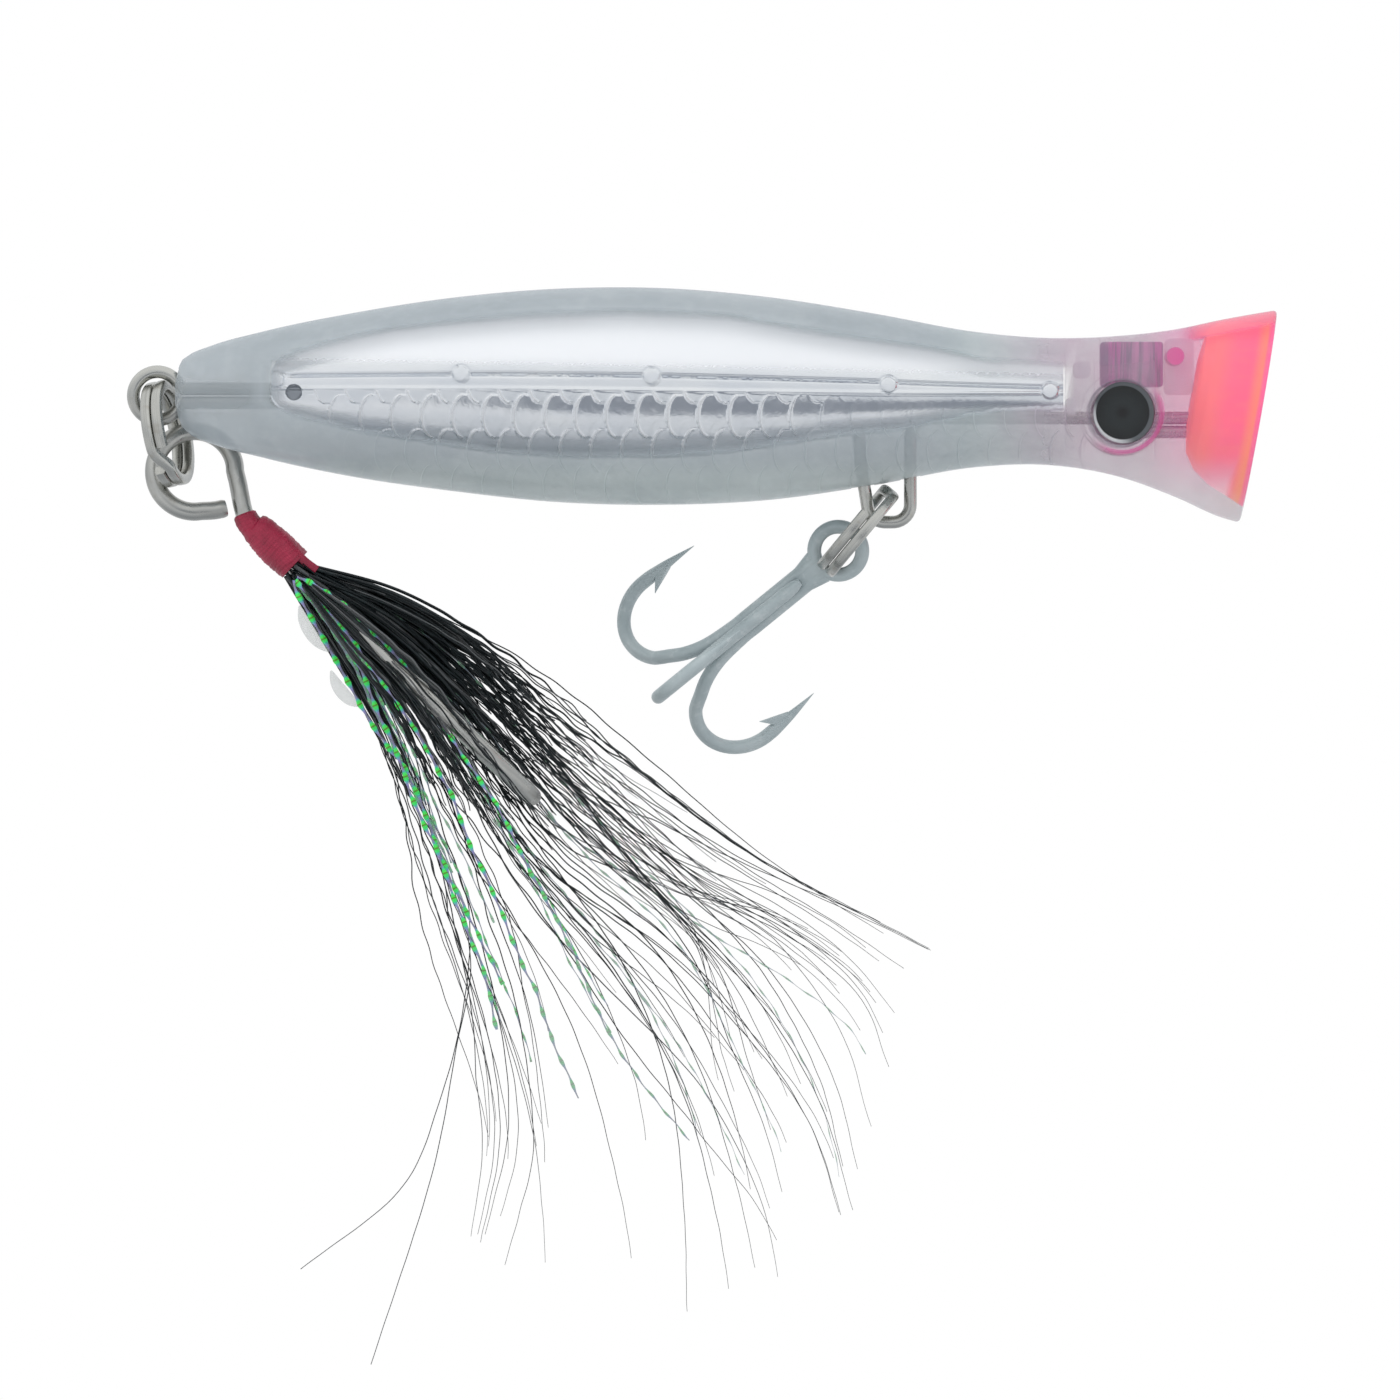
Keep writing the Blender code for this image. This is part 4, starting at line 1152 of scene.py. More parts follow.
def turned_piece(name, profile, place, material, node_name):
    mesh = loft(name, turned_rings(profile, place, 96))
    return add_piece(name, mesh, material, "lure_body", (node_name,), 35.0)


for label, side in (("right", -1), ("left", 1)):
    head_mouldings(label, side)
    place = eye_matrix(side)
    floor = -1.05
    turned_piece(
        f"eye_print_{label}",
        [(0.02, floor), (2.95, floor), (2.95, floor + 0.24), (2.89, floor + 0.3), (0.02, floor + 0.3)],
        place,
        EYE_FOIL,
        f"eye_foil_{label}",
    )
    base = floor + 0.4
    dome = [(0.02, base), (2.95, base), (2.95, base + 0.4)]
    for a in np.radians(np.linspace(4.0, 89.0, 16)):
        dome.append((2.95 * math.cos(a), base + 0.45 + 0.75 * math.sin(a)))
    turned_piece(f"eye_lens_{label}", dome, place, EYE_RESIN, f"eye_dome_{label}")

# ---------------------------------------------------------------- split rings


RING_RADIUS = 4.575
COIL_PITCH = 1.06
CROSSING = (345.0, 375.0)


def split_ring(name, strand, direction, turn_deg, start_deg, coil, body, replaced):
    """Coils hung from a strand. The wire runs over the degrees in coil and steps across in CROSSING."""
    down = Vector(direction).normalized()
    side = Vector((0.0, 1.0, 0.0))
    side = (side - down * side.dot(down)).normalized()
    side = Matrix.Rotation(math.radians(turn_deg), 3, down) @ side
    axial = down.cross(side)
    centre = Vector(strand) + down * RING_RADIUS
    points = []
    for angle in np.arange(coil[0], coil[1] + 0.1, 4.0):
        share = float(smoothstep(*CROSSING, angle))
        a = math.radians(angle + start_deg)
        around = down * math.cos(a) + side * math.sin(a)
        points.append(tuple(centre + around * RING_RADIUS + axial * COIL_PITCH * (share - 0.5)))
    points = np.array(points)
    tangents = np.gradient(points, axis=0)
    tangents /= np.linalg.norm(tangents, axis=1)[:, None]
    outwards = points - np.array(centre)
    outwards -= np.outer(outwards @ np.array(axial), np.array(axial))
    outwards /= np.linalg.norm(outwards, axis=1)[:, None]
    along_axis = np.cross(tangents, outwards)
    profile = rounded_box(0.52, 0.50, 0.26, 4)
    rows = points[:, None, :] + outwards[:, None, :] * profile[None, :, 0:1]
    rows = rows + along_axis[:, None, :] * profile[None, :, 1:2]
    return add_merged(name, [skin(points, rows)], STEEL, body, (replaced,), 50.0)


split_ring(
    "belly_ring_coils",
    (-32.5, 0.0, -6.5),
    (-0.64, 0.0, -0.77),
    0.0,
    180.0,
    (70.0, 650.0),
    "belly_ring",
    "belly_split_ring",
)
split_ring(
    "tail_ring_coils",
    (-102.38, 0.0, 3.55),
    (0.24, 0.2, -0.95),
    14.6,
    290.0,
    (15.0, 705.0),
    "tail_ring",
    "tail_split_ring",
)

# ---------------------------------------------------------------- treble hook

TREBLE_WIRE = 0.66
TREBLE_EYE_RADIUS = 2.3
SHANK_START, SHANK_END = 2.6, 10.9
THIRD_OFFSET = 1.14
TAPER_POINTS = 19


def arm_profile(start):
    lead = smooth_path(
        [
            (11.0, start),
            (12.4, start),
            (15.4, start + 0.28),
            (17.7, start + 1.0),
            *arc((17.1, 6.5), 4.4, -58.0, -50.0),
        ],
        0.4,
    )
    bend = arc((17.1, 6.5), 4.4, -46.0, 92.0, 5.0)
    point = smooth_path([bend[-1], (15.6, 10.87), (14.0, 10.8), (12.4, 10.65), (11.0, 10.5)], 0.3)[1:]
    return np.concatenate([lead[:-1], bend, point])


def arm_path(start, out):
    shank, _, _ = hook_axes(TREBLE_DEG, TREBLE_TILT)
    size = np.linalg.norm(start)
    profile = arm_profile(size)
    share = np.clip((profile[:, 1] - size) / 3.0, 0.0, 1.0)[:, None]
    heading = (start / size) * (1.0 - share) + out * share
    heading /= np.linalg.norm(heading, axis=1)[:, None]
    return np.array(TREBLE_EYE) + shank * profile[:, :1] + heading * profile[:, 1:]


def needle(count, taper_count):
    """Full radius, then a long taper over the last points."""
    scale = np.ones(count)
    t = np.linspace(0.0, 1.0, taper_count)
    scale[-taper_count:] = 1.0 - 0.97 * t**1.1
    return scale


def barb(out):
    """A small wedge cut up from the inner side of a point."""
    shank, _, _ = hook_axes(TREBLE_DEG, TREBLE_TILT)
    eye = np.array(TREBLE_EYE)
    sidewise = np.cross(shank, out)
    tip = eye + shank * 16.75 + out * 9.15
    root_low = eye + shank * 14.1 + out * 10.45
    root_high = eye + shank * 15.7 + out * 10.5
    verts = []
    for spot_here, half in ((root_low, 0.3), (root_high, 0.34), (tip, 0.05)):
        verts += [spot_here - sidewise * half, spot_here + sidewise * half]
    faces = [(0, 1, 3, 2), (0, 4, 5, 1), (2, 3, 5, 4), (0, 2, 4), (1, 5, 3)]
    return np.array(verts), faces, np.zeros((6, 2))


def treble():
    shank, across, normal = hook_axes(TREBLE_DEG, TREBLE_TILT)
    eye = np.array(TREBLE_EYE)
    spread = math.radians(30.0)
    arms, barbs = [], []
    for sign in (1.0, -1.0):
        out = across * sign * math.cos(spread) + normal * math.sin(spread)
        arms.append(arm_path(across * sign * TREBLE_WIRE, out))
        barbs.append(barb(out))
    opening = math.degrees(math.asin(TREBLE_WIRE / TREBLE_EYE_RADIUS))
    ring = arc((0.0, 0.0), TREBLE_EYE_RADIUS, opening, 360.0 - opening)
    loop = eye + shank * ring[:, :1] + across * ring[:, 1:]
    near, far, apart = eye + shank * SHANK_START, eye + shank * SHANK_END, across * TREBLE_WIRE
    inward = straight(near + apart, far + apart, 0.6)[::-1]
    outward_leg = straight(far - apart, near - apart, 0.6)[::-1]
    points = np.concatenate([arms[0][::-1], inward, loop, outward_leg, arms[1]])
    taper = needle(len(points), TAPER_POINTS)
    scale = np.minimum(taper, taper[::-1])
    body = sweep_arrays(points, circle(TREBLE_WIRE, 20), scale, up=tuple(normal))
    band = arc((0.0, 0.0), TREBLE_EYE_RADIUS, 0.0, 360.0, 5.0)[:-1]
    band = np.concatenate([band, band[:2]])
    heading = shank * band[:, :1] + across * band[:, 1:]
    eye_band = sweep_arrays(eye + heading, rounded_box(0.66, 0.55, 0.4, 5), up=tuple(normal))
    stretch = straight(eye + shank * 1.9, eye + shank * 12.6, 0.3)
    along = np.linspace(1.9, 12.6, len(stretch))
    wide = np.interp(along, (1.9, 2.4, 4.5, 9.0, 12.6), (0.9, 1.75, 1.28, 1.2, 0.3))
    deep = np.interp(along, (1.9, 2.4, 10.5, 12.6), (0.6, 0.66, 0.62, 0.3))
    braze = sweep_arrays(stretch, circle(1.0, 24), np.stack([deep, wide], axis=1), up=tuple(across))
    parts = [body, eye_band, braze, *barbs]
    add_merged("double_hook", parts, COATED, "treble", ("treble_double_hook",))
    offset = -normal * THIRD_OFFSET
    lead = straight(eye + shank * 4.6 + offset, far + offset, 0.6)
    points = np.concatenate([lead, arm_path(offset, -normal)])
    scale = needle(len(points), TAPER_POINTS)
    scale[:3] = (0.55, 0.85, 0.96)
    body = sweep_arrays(points, circle(TREBLE_WIRE, 20), scale, up=tuple(across))
    parts = [body, barb(-normal)]
    add_merged("third_hook", parts, COATED, "treble", ("treble_third_hook",))


treble()

# ---------------------------------------------------------------- tail hook and its dressing

HS, HA, HN = hook_axes(HOOK_DEG)
HOOK_RADIUS = 0.87
HOOK_LENGTH = 45.6
BEND_RADIUS = 8.5


def tail_hook_path():
    eye = np.array(HOOK_EYE)
    flat = [(3.0, -3.5), (1.9, -3.72)]
    flat += [tuple(p) for p in arc((0.0, 0.0), 3.85, 280.0, 0.0, 8.0)]
    flat += [
        (4.12, -1.1), (4.35, -2.3), (4.55, -3.3), (4.83, -4.25), (5.27, -5.05), (6.6, -6.33), (9.0, -8.63)
    ]
    flat = smooth_path(flat, 0.3)
    place = np.stack([flat[:, 0], np.zeros(len(flat)), flat[:, 1]], axis=1)
    fade = np.clip((7.5 - place @ HS) / 4.0, 0.0, 1.0)
    lift = (place @ HA) * math.tan(math.radians(HOOK_TURN)) * fade
    points = eye + place + HN * lift[:, None]
    middle = HOOK_LENGTH - HOOK_RADIUS - BEND_RADIUS
    shank = straight(points[-1] + HS * 0.6, eye + HS * (middle - 0.3), 0.8)
    bend = arc((middle, BEND_RADIUS), BEND_RADIUS, -90.0, 80.0, 4.0)
    bend = eye + HS * bend[:, :1] - HN * bend[:, 1:]
    arm = smooth_path(
        [(middle + 1.48, 16.87), (middle - 1.6, 16.82), (middle - 5.0, 16.4), (22.2, 15.4)], 0.35
    )[1:]
    arm = eye + HS * arm[:, :1] - HN * arm[:, 1:]
    return np.concatenate([points, shank, bend, arm])


def tail_hook():
    points = tail_hook_path()
    scale = needle(len(points), 24)
    scale[0] = 0.9
    wire = sweep_arrays(points, circle(HOOK_RADIUS, 24), scale)
    return add_merged("single_hook", [wire], TINNED, "tail_hook", ("tail_hook",))


tail_hook()


def wrap_path():
    """The wire's middle under the thread, from the collar to the wrap's lower end."""
    path = tail_hook_path()
    along = (path - np.array(HOOK_EYE)) @ HS
    use = (along > 6.2) & (along < 13.5) & (np.arange(len(path)) > 60)
    path = resample(path[use], 0.05)
    along = (path - np.array(HOOK_EYE)) @ HS
    return path + HA * (0.16 * smoothstep(7.6, 8.6, along))[:, None]


def thread_wrap():
    path = wrap_path()
    along = (path - np.array(HOOK_EYE)) @ HS
    reach = np.interp(
        along,
        (6.2, 6.35, 6.8, 7.6, 7.9, 8.6, 9.8, 12.4, 13.1, 13.35, 13.5),
        (0.9, 1.08, 1.12, 1.15, 1.42, 1.6, 1.68, 1.72, 1.66, 1.5, 1.1),
    )
    side_axis, top_axis = path_frames(path, (0, 1, 0))
    a = np.linspace(0.0, 2 * np.pi, 120, endpoint=False)
    length = path_length(path)
    around = a[None, :] / (2 * np.pi)
    warp = 0.10 * np.sin(a * 2.0 + 0.5)[None, :] + 0.07 * np.sin(length[:, None] * 1.3 + a[None, :] * 3.0)
    turn = (length[:, None] + warp) / 0.34 + around
    layer = 0.05 * np.abs(np.sin(np.pi * turn)) ** 0.6
    coarse = 0.14 * np.abs(np.sin(np.pi * ((length[:, None] + 1.6 * warp) / 0.8 + around))) ** 0.8
    upper = 0.35 + 0.65 * np.clip(np.cos(a - np.pi / 2), 0.0, 1.0)[None, :]
    drift = 0.04 * np.sin(a * 2.0 + length[:, None] * 1.7) + 0.03 * np.sin(
        a * 5.0 + length[:, None] * 0.9 + 1.0
    )
    r = reach[:, None] + layer + (drift + coarse * upper) * smoothstep(7.7, 8.6, along)[:, None]
    rows = path[:, None, :] + side_axis[:, None, :] * (r * np.cos(a))[:, :, None]
    rows = rows + top_axis[:, None, :] * (r * np.sin(a))[:, :, None]
    front = np.array(HOOK_EYE) - HN * 1.2
    tag = smooth_path([front + HS * s + HA * a for s, a in ((12.3, 1.1), (13.6, 1.1), (14.95, 1.3))], 0.15)
    tag_part = sweep_arrays(tag, rounded_box(0.45, 0.26, 0.16), np.linspace(1.0, 0.85, len(tag)))
    parts = [skin(path, rows), tag_part]
    return add_merged("thread_binding", parts, THREAD, "tail_hook", ("thread_wrap",), 60.0)


thread_wrap()


# Guide lines of the dressing as x and z, from the wrap's lower end to a tip, in order round the fan.
HAIR_GUIDES = (
    (
        (-88.6, -13.9), (-79.5, -16.2), (-71.5, -20.5), (-63.8, -26.2), (-56.2, -32.9), (-44.8, -41.4),
        (-28.6, -50.0),
    ),
    (
        (-88.8, -13.9), (-79.8, -17.6), (-72.4, -22.4), (-63.8, -30.5), (-50.5, -40.5), (-39.1, -48.1),
        (-31.0, -55.1),
    ),
    (
        (-88.8, -14.0), (-80.5, -18.6), (-73.4, -25.2), (-63.8, -34.8), (-52.4, -44.3), (-42.9, -49.1),
        (-35.3, -54.8), (-32.4, -61.5),
    ),
    (
        (-88.9, -14.1), (-81.0, -19.6), (-74.3, -26.2), (-63.8, -39.5), (-52.4, -48.1), (-44.8, -56.7),
        (-39.1, -66.2), (-36.2, -75.9),
    ),
    (
        (-88.9, -14.1), (-82.0, -20.0), (-76.2, -26.2), (-65.7, -40.5), (-55.3, -50.0), (-48.6, -59.6),
        (-43.8, -67.2), (-41.0, -74.8),
    ),
    (
        (-89.0, -14.2), (-82.6, -20.4), (-77.2, -26.2), (-67.6, -40.5), (-58.1, -51.9), (-51.5, -62.4),
        (-47.6, -73.8), (-45.3, -83.4),
    ),
    (
        (-89.0, -14.2), (-83.4, -20.6), (-78.1, -26.2), (-69.6, -40.5), (-61.0, -52.9), (-55.3, -65.3),
        (-52.9, -76.7), (-52.4, -86.2),
    ),
    (
        (-89.1, -14.3), (-84.0, -21.4), (-79.1, -28.1), (-73.4, -40.5), (-66.7, -54.8), (-63.8, -67.2),
        (-62.0, -74.0), (-60.8, -79.0),
    ),
    (
        (-89.1, -14.3), (-84.6, -21.6), (-81.0, -28.1), (-75.3, -41.4), (-69.6, -56.7), (-67.0, -68.0),
        (-67.6, -75.5), (-68.6, -80.5),
    ),
    (
        (-89.4, -14.6), (-86.6, -20.5), (-83.8, -26.0), (-80.5, -31.5), (-76.8, -41.5), (-72.6, -55.0),
        (-71.0, -67.0), (-72.5, -77.0),
    ),
)
SINGLES = (
    (
        (-89.2, -14.4), (-84.8, -22.5), (-80.0, -32.0), (-75.4, -39.0), (-72.6, -46.0), (-73.0, -55.0),
        (-75.3, -64.3), (-79.1, -72.9), (-88.6, -80.5),
    ),
    (
        (-89.2, -14.4), (-84.8, -23.0), (-79.6, -33.0), (-74.6, -42.0), (-72.4, -51.0), (-73.8, -59.6),
        (-76.2, -71.9), (-81.9, -89.6),
    ),
)
FLASH_GUIDES = (
    (
        (-88.9, -14.5), (-87.6, -15.0), (-85.3, -16.5), (-83.3, -18.0), (-81.2, -20.1), (-79.4, -21.9),
        (-77.6, -24.1), (-76.2, -26.2), (-75.0, -28.1), (-73.4, -30.7), (-69.8, -36.0), (-68.0, -39.4),
        (-66.9, -41.7), (-63.0, -49.0), (-59.5, -57.0), (-56.0, -62.5), (-51.5, -68.0),
    ),
    (
        (-89.0, -14.7), (-87.2, -16.4), (-84.9, -18.8), (-82.6, -21.9), (-80.3, -25.1), (-78.8, -27.2),
        (-77.0, -29.8), (-75.5, -32.6), (-73.8, -35.8), (-72.7, -39.0), (-71.3, -42.0), (-70.0, -44.7),
        (-67.5, -50.9), (-66.0, -54.0), (-64.5, -58.5), (-62.0, -64.0),
    ),
    (
        (-89.1, -14.8), (-86.5, -17.6), (-84.0, -21.2), (-82.6, -23.6), (-81.5, -26.4), (-80.6, -28.5),
        (-79.5, -30.6), (-77.6, -36.0), (-75.6, -40.2), (-74.2, -44.0), (-72.4, -48.6), (-71.0, -52.0),
        (-69.8, -57.5),
    ),
    (
        (-89.2, -14.8), (-88.9, -16.0), (-86.6, -19.9), (-84.3, -23.9), (-82.3, -27.5), (-80.2, -30.6),
        (-78.6, -32.6), (-76.8, -36.4), (-75.4, -40.4), (-73.2, -45.2), (-69.2, -53.2),
    ),
)


LINE_POINTS = 80


def fixed_count(guide, count):
    dense = smooth_path(np.array(guide, float), 0.5)
    old, new = np.linspace(0.0, 1.0, len(dense)), np.linspace(0.0, 1.0, count)
    return np.stack([np.interp(new, old, dense[:, 0]), np.interp(new, old, dense[:, 1])], axis=1)


HAIR_LINES = np.array([fixed_count(g, LINE_POINTS) for g in HAIR_GUIDES])


def fan_line(start_place, end_place, reach):
    """A flat line in the hair's fan that drifts from one place across the fan to another."""
    share = np.linspace(0.0, 1.0, LINE_POINTS)
    place = start_place + (end_place - start_place) * smoothstep(0.1, 1.0, share)
    place = np.clip(place, 0.0, len(HAIR_LINES) - 1.001)
    low = np.floor(place).astype(int)
    part = (place - low)[:, None]
    step = np.arange(LINE_POINTS)
    line = HAIR_LINES[low, step] * (1.0 - part) + HAIR_LINES[low + 1, step] * part
    return line[: max(8, int(LINE_POINTS * reach))]


def strand_points(flat, depths, crinkle, step, sway=0.0, calm=0.55):
    """Lifts a flat line into space at the given depths and adds crinkles that die out, and a slow sway."""
    share = np.linspace(0.0, 1.0, len(flat))
    y = np.interp(share, np.linspace(0.0, 1.0, len(depths)), depths)
    points = resample(np.stack([flat[:, 0], y, flat[:, 1]], axis=1), step)
    n = len(points)
    tangent = np.gradient(points, axis=0)
    tangent /= np.linalg.norm(tangent, axis=1)[:, None]
    side = np.cross(tangent, (0.0, 1.0, 0.0))
    side /= np.linalg.norm(side, axis=1)[:, None]
    length = np.arange(n) * step
    wave = rng.uniform(3.3, 4.8)
    phase = rng.uniform(0.0, 2 * np.pi)
    size = crinkle * smoothstep(11.0, 24.0, length) * (
        1.0 - 0.8 * smoothstep(calm * 50.0, calm * 50.0 + 20.0, length)
    )
    turn = 2 * np.pi * length / wave + 0.5 * np.sin(length * 0.33 + phase)
    offset = size * np.sin(turn + phase)
    other = size * np.cos(turn * 0.93 + phase)
    slow = sway * smoothstep(4.0, 45.0, length) * np.sin(
        length * rng.uniform(0.06, 0.11) + rng.uniform(0.0, 6.3)
    )
    return points + side * (offset + slow)[:, None] + np.array((0.0, 1.0, 0.0)) * other[:, None]


def fibres(name, strands, sides, material, replaced=()):
    """One mesh from (points, radius at root, radius at tip, tone) per strand."""
    parts, tones = [], []
    for points, root, tip, tone in strands:
        radius = np.interp(np.linspace(0.0, 1.0, len(points)), (0.0, 0.55, 1.0), (root, root * 0.85, tip))
        part = sweep_arrays(points, circle(1.0, sides), radius)
        parts.append(part)
        tones.append(np.full(len(part[0]), tone))
    verts, faces, uvs = merged(parts)
    mesh = make_mesh(name, verts, faces, uvs, np.concatenate(tones))
    return add_piece(name, mesh, material, "tail_hook", replaced, 180.0)


def long_hair(count):
    strands = []
    for index in range(count):
        start = 8.8 * (index + rng.uniform(0.0, 1.0)) / count
        end = start + rng.normal(0.0, 1.6)
        reach = float(np.clip(1.05 - abs(rng.normal(0.0, 0.24)), 0.4, 1.0))
        if index % 3 == 0:
            start, end = rng.uniform(0.0, 2.6), rng.uniform(0.3, 5.0)
        flat = fan_line(start, end, reach)
        flat = flat + rng.normal(0.0, 0.45, 2) * np.linspace(1.0, 0.3, len(flat))[:, None]
        tip = rng.normal(2.0, 3.5)
        depths = (3.0 + rng.normal(0.0, 0.8), 3.0 + 0.5 * (tip - 3.0) + rng.normal(0.0, 0.7), tip)
        points = strand_points(flat, depths, rng.uniform(0.05, 0.12), 0.38, rng.normal(0.0, 0.8))
        tone = 0.0 if rng.uniform() < 0.72 else rng.uniform(0.3, 1.0)
        strands.append((points, rng.uniform(0.07, 0.105), 0.028, tone))
    fibres("hair_strands", strands, 3, HAIR, ("hair_skirt",))


def hair_core(count):
    """Short strands that close up the root of the bunch."""
    strands = []
    for _ in range(count):
        start = 8.6 * rng.uniform() ** 1.15
        reach = rng.uniform(0.22, 0.5) * (1.0 if start < 4.5 else 0.75)
        flat = fan_line(start, start + rng.normal(0.0, 0.5), reach)
        flat = flat + rng.normal(0.0, 0.5, 2) * np.linspace(1.0, 0.6, len(flat))[:, None]
        depths = (3.0 + rng.normal(0.0, 0.9), 3.4 + rng.normal(0.0, 1.4), 3.6 + rng.normal(0.0, 1.8))
        points = strand_points(flat, depths, rng.uniform(0.05, 0.2), 0.42, calm=2.0)
        strands.append((points, rng.uniform(0.13, 0.21), 0.05, 0.0 if rng.uniform() < 0.85 else 0.6))
    fibres("hair_root", strands, 4, HAIR)


def hair_over_hook(count):
    """Strands that bow out past the hook's point and lie in front of it."""
    strands = []
    for _ in range(count):
        start = rng.uniform(3.0, 7.0)
        flat = fan_line(start, start - rng.uniform(0.2, 1.6), rng.uniform(0.3, 0.46))
        depths = (1.8, -6.0, -13.5, -14.95, -15.0 + rng.uniform(-0.1, 0.1))
        points = strand_points(flat, depths, rng.uniform(0.05, 0.12), 0.42, calm=2.0)
        strands.append((points, rng.uniform(0.10, 0.16), 0.05, 0.0 if rng.uniform() < 0.7 else 0.8))
    fibres("hair_front", strands, 4, HAIR)


long_hair(98)
hair_core(170)
hair_over_hook(26)
singles = []
for guide in SINGLES:
    dense = smooth_path(np.array(guide, float), 0.8)
    singles.append((strand_points(dense, (3.0, 2.5, 2.0), 0.05, 0.45), 0.062, 0.04, 0.15))
fibres("hair_long", singles, 5, HAIR)


def flash_ribbon(flat, depths, full, tone):
    """A ribbon that twists once per scale of colour, wide where it faces the viewer and thin between."""
    step = 0.13
    points = strand_points(flat, depths, 0.05, step, 0.0, 2.0)
    length = np.arange(len(points)) * step
    phase = rng.uniform(0.0, 1.0)
    cycle = (length / FLASH_TURN + phase) % 1.0
    lens = np.exp(-(((cycle - 0.5) / 0.22) ** 2))
    fade = np.interp(length, (0.0, 48.0, 75.0), (1.0, 0.75, 0.35)) * full
    scale = np.stack([(0.34 + 0.66 * lens) * fade, 0.6 + 0.4 * fade], axis=1)
    verts, faces, uvs = sweep_arrays(points, rounded_box(0.30, 0.035, 0.03, 2), scale)
    uvs[:, 0] += phase * FLASH_TURN
    return verts, faces, uvs, np.full(len(verts), tone)


def flash_strands():
    lines = [fixed_count(g, 120) for g in FLASH_GUIDES]
    depths = (
        (0.6, -8.0, -15.05, -15.1, -14.0, -10.0, -6.0),
        (0.4, -5.0, -7.5, -8.0, -7.5, -6.0),
        (0.3, -4.5, -6.8, -7.0, -6.0),
        (0.2, -4.0, -6.0, -6.5, -5.5),
    )
    made = [flash_ribbon(line, depth, 1.0, 0.0) for line, depth in zip(lines, depths)]
    for _ in range(9):
        k = int(rng.integers(0, 3))
        share = rng.uniform(0.2, 0.8)
        flat = lines[k] * (1.0 - share) + lines[k + 1] * share
        flat = flat + np.outer(np.linspace(0.0, 1.0, 120) ** 1.5, rng.normal(0.0, 2.6, 2))
        flat = flat[: int(120 * rng.uniform(0.6, 1.0))]
        made.append(
            flash_ribbon(
                flat,
                (2.0, rng.uniform(-4.0, 2.0), rng.uniform(-3.0, 3.0)),
                rng.uniform(0.45, 0.65),
                rng.uniform(0.4, 0.9),
            )
        )
    for start, end in ((1.2, 3.0), (2.2, 4.0), (3.0, 2.2), (4.2, 5.4), (5.5, 4.6)):
        flat = fan_line(start, end, rng.uniform(0.75, 0.98))
        made.append(flash_ribbon(flat, (3.0, 2.0, rng.uniform(-2.0, 3.0)), 0.5, 1.0))
    verts, faces, uvs = merged([part[:3] for part in made])
    tone = np.concatenate([part[3] for part in made])
    mesh = make_mesh("flash_strands", verts, faces, uvs, tone)
    return add_piece("flash_strands", mesh, FLASH, "tail_hook", ("flash_skirt",), 180.0)


flash_strands()


def clear_scales():
    """Two thin translucent scallops at the root of the bunch."""
    parts = []
    for track in (
        ((-88.7, -17.2), (-88.2, -18.8), (-87.1, -20.5), (-85.9, -21.6)),
        ((-85.7, -23.4), (-85.1, -24.8), (-84.0, -26.1), (-82.7, -26.8)),
    ):
        flat = smooth_path(np.array(track), 0.1)
        points = np.stack([flat[:, 0], np.full(len(flat), 1.4), flat[:, 1]], axis=1)
        wide = np.sin(np.linspace(0.05, np.pi - 0.05, len(points))) ** 0.7
        parts.append(
            sweep_arrays(
                points, rounded_box(0.62, 0.03, 0.02, 2), np.stack([wide, np.ones(len(points))], axis=1)
            )
        )
    return add_merged("clear_scales", parts, FILM, "tail_hook", (), 60.0)


clear_scales()

# ---------------------------------------------------------------- stage, light and camera


FLOOR_CENTRE = (-50.0, 0.0, -112.0)
FLOOR_RADIUS = 420.0


def stage_floor():
    x, y, z = FLOOR_CENTRE
    verts = [FLOOR_CENTRE]
    faces = []
    for index, a in enumerate(np.linspace(0.0, 2 * np.pi, 96, endpoint=False)):
        verts.append((x + FLOOR_RADIUS * math.cos(a), y + FLOOR_RADIUS * math.sin(a), z))
        faces.append((0, index + 1, (index + 1) % 96 + 1))
    mesh = make_mesh("stage_floor", verts, faces)
    obj = new_object("stage_floor", mesh)
    mesh.materials.append(floor_look())
    obj.visible_glossy = False


stage_floor()


def area_light(name, place, target, size, power):
    data = bpy.data.lights.new(name, "AREA")
    data.shape = "RECTANGLE"
    data.size, data.size_y = size
    data.energy = power
    obj = new_object(name, data)
    obj.location = Vector(place)
    obj.rotation_euler = (Vector(target) - Vector(place)).to_track_quat("-Z", "Y").to_euler()
    return obj


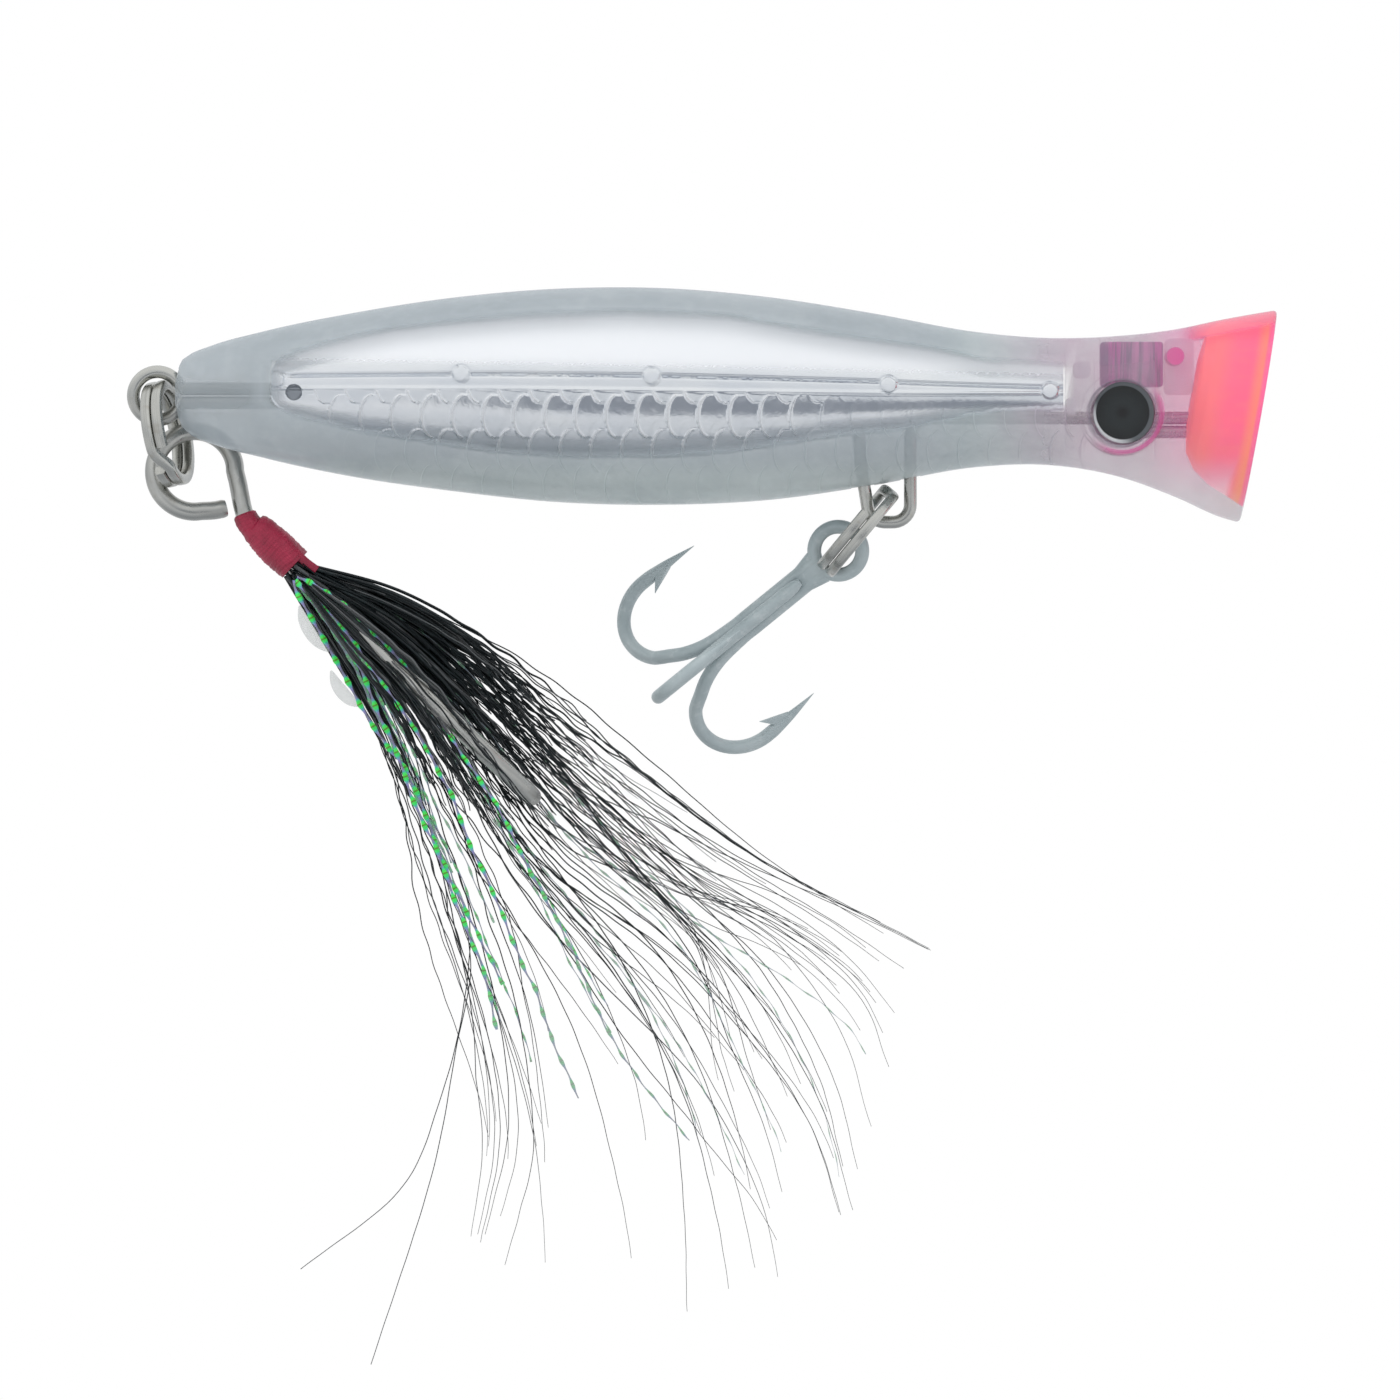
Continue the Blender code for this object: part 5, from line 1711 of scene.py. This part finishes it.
def studio_world():
    """White above, soft grey below, and a darker patch in front, where the photographer stands."""
    world = bpy.data.worlds.new("studio")
    bpy.context.scene.world = world
    world.use_nodes = True
    tree = world.node_tree
    tree.nodes.clear()
    ray = node(tree, "TexCoord").outputs["Generated"]
    height = part_of(tree, ray, 2)
    base = ramp(
        tree,
        map_range(tree, height, -1.0, 1.0, kind="LINEAR"),
        [
            (0.0, (0.40, 0.42, 0.45)),
            (0.2, (0.62, 0.64, 0.67)),
            (0.35, (0.80, 0.81, 0.83)),
            (0.5, (0.66, 0.68, 0.71)),
            (0.62, (0.74, 0.76, 0.79)),
            (0.8, (0.90, 0.91, 0.92)),
            (1.0, (0.88, 0.89, 0.90)),
        ],
    )
    away = node(tree, "VectorMath", {0: ray, 1: (0.16, -0.97, -0.19)}, operation="SUBTRACT").outputs[0]
    away = node(tree, "VectorMath", {0: away, 1: (0.55, 0.5, 1.0)}, operation="MULTIPLY").outputs[0]
    reach = node(tree, "VectorMath", {0: away}, operation="LENGTH").outputs["Value"]
    dark = map_range(tree, reach, 0.20, 0.13)
    base = mix_colour(tree, dark * 0.9, base, colour(0.2, 0.22, 0.26))
    lit = node(tree, "Background", {"Color": base, "Strength": 1.0})
    plain = node(tree, "Background", {"Color": colour(1.0, 1.0, 1.0), "Strength": 1.0})
    seen = node(tree, "LightPath").outputs["Is Camera Ray"]
    both = node(tree, "MixShader", {0: seen, 1: lit.outputs[0], 2: plain.outputs[0]})
    node(tree, "OutputWorld", {"Surface": both.outputs[0]})


studio_world()
area_light("key", (-0.25, -0.45, 0.6), (-0.05, 0.0, 0.0), (0.7, 0.5), 2.0).visible_glossy = False

camera_data = bpy.data.cameras.new("camera")
camera_data.sensor_width = 36.0
camera_data.lens = 450.0
camera_data.clip_start = 0.05
camera_data.clip_end = 50.0
camera = new_object("camera", camera_data)
camera.location = (-0.0505, -1.6675, -0.0262)
camera.rotation_euler = (math.pi / 2, 0.0, 0.0)
bpy.context.scene.camera = camera
bpy.context.scene.view_settings.view_transform = "Standard"
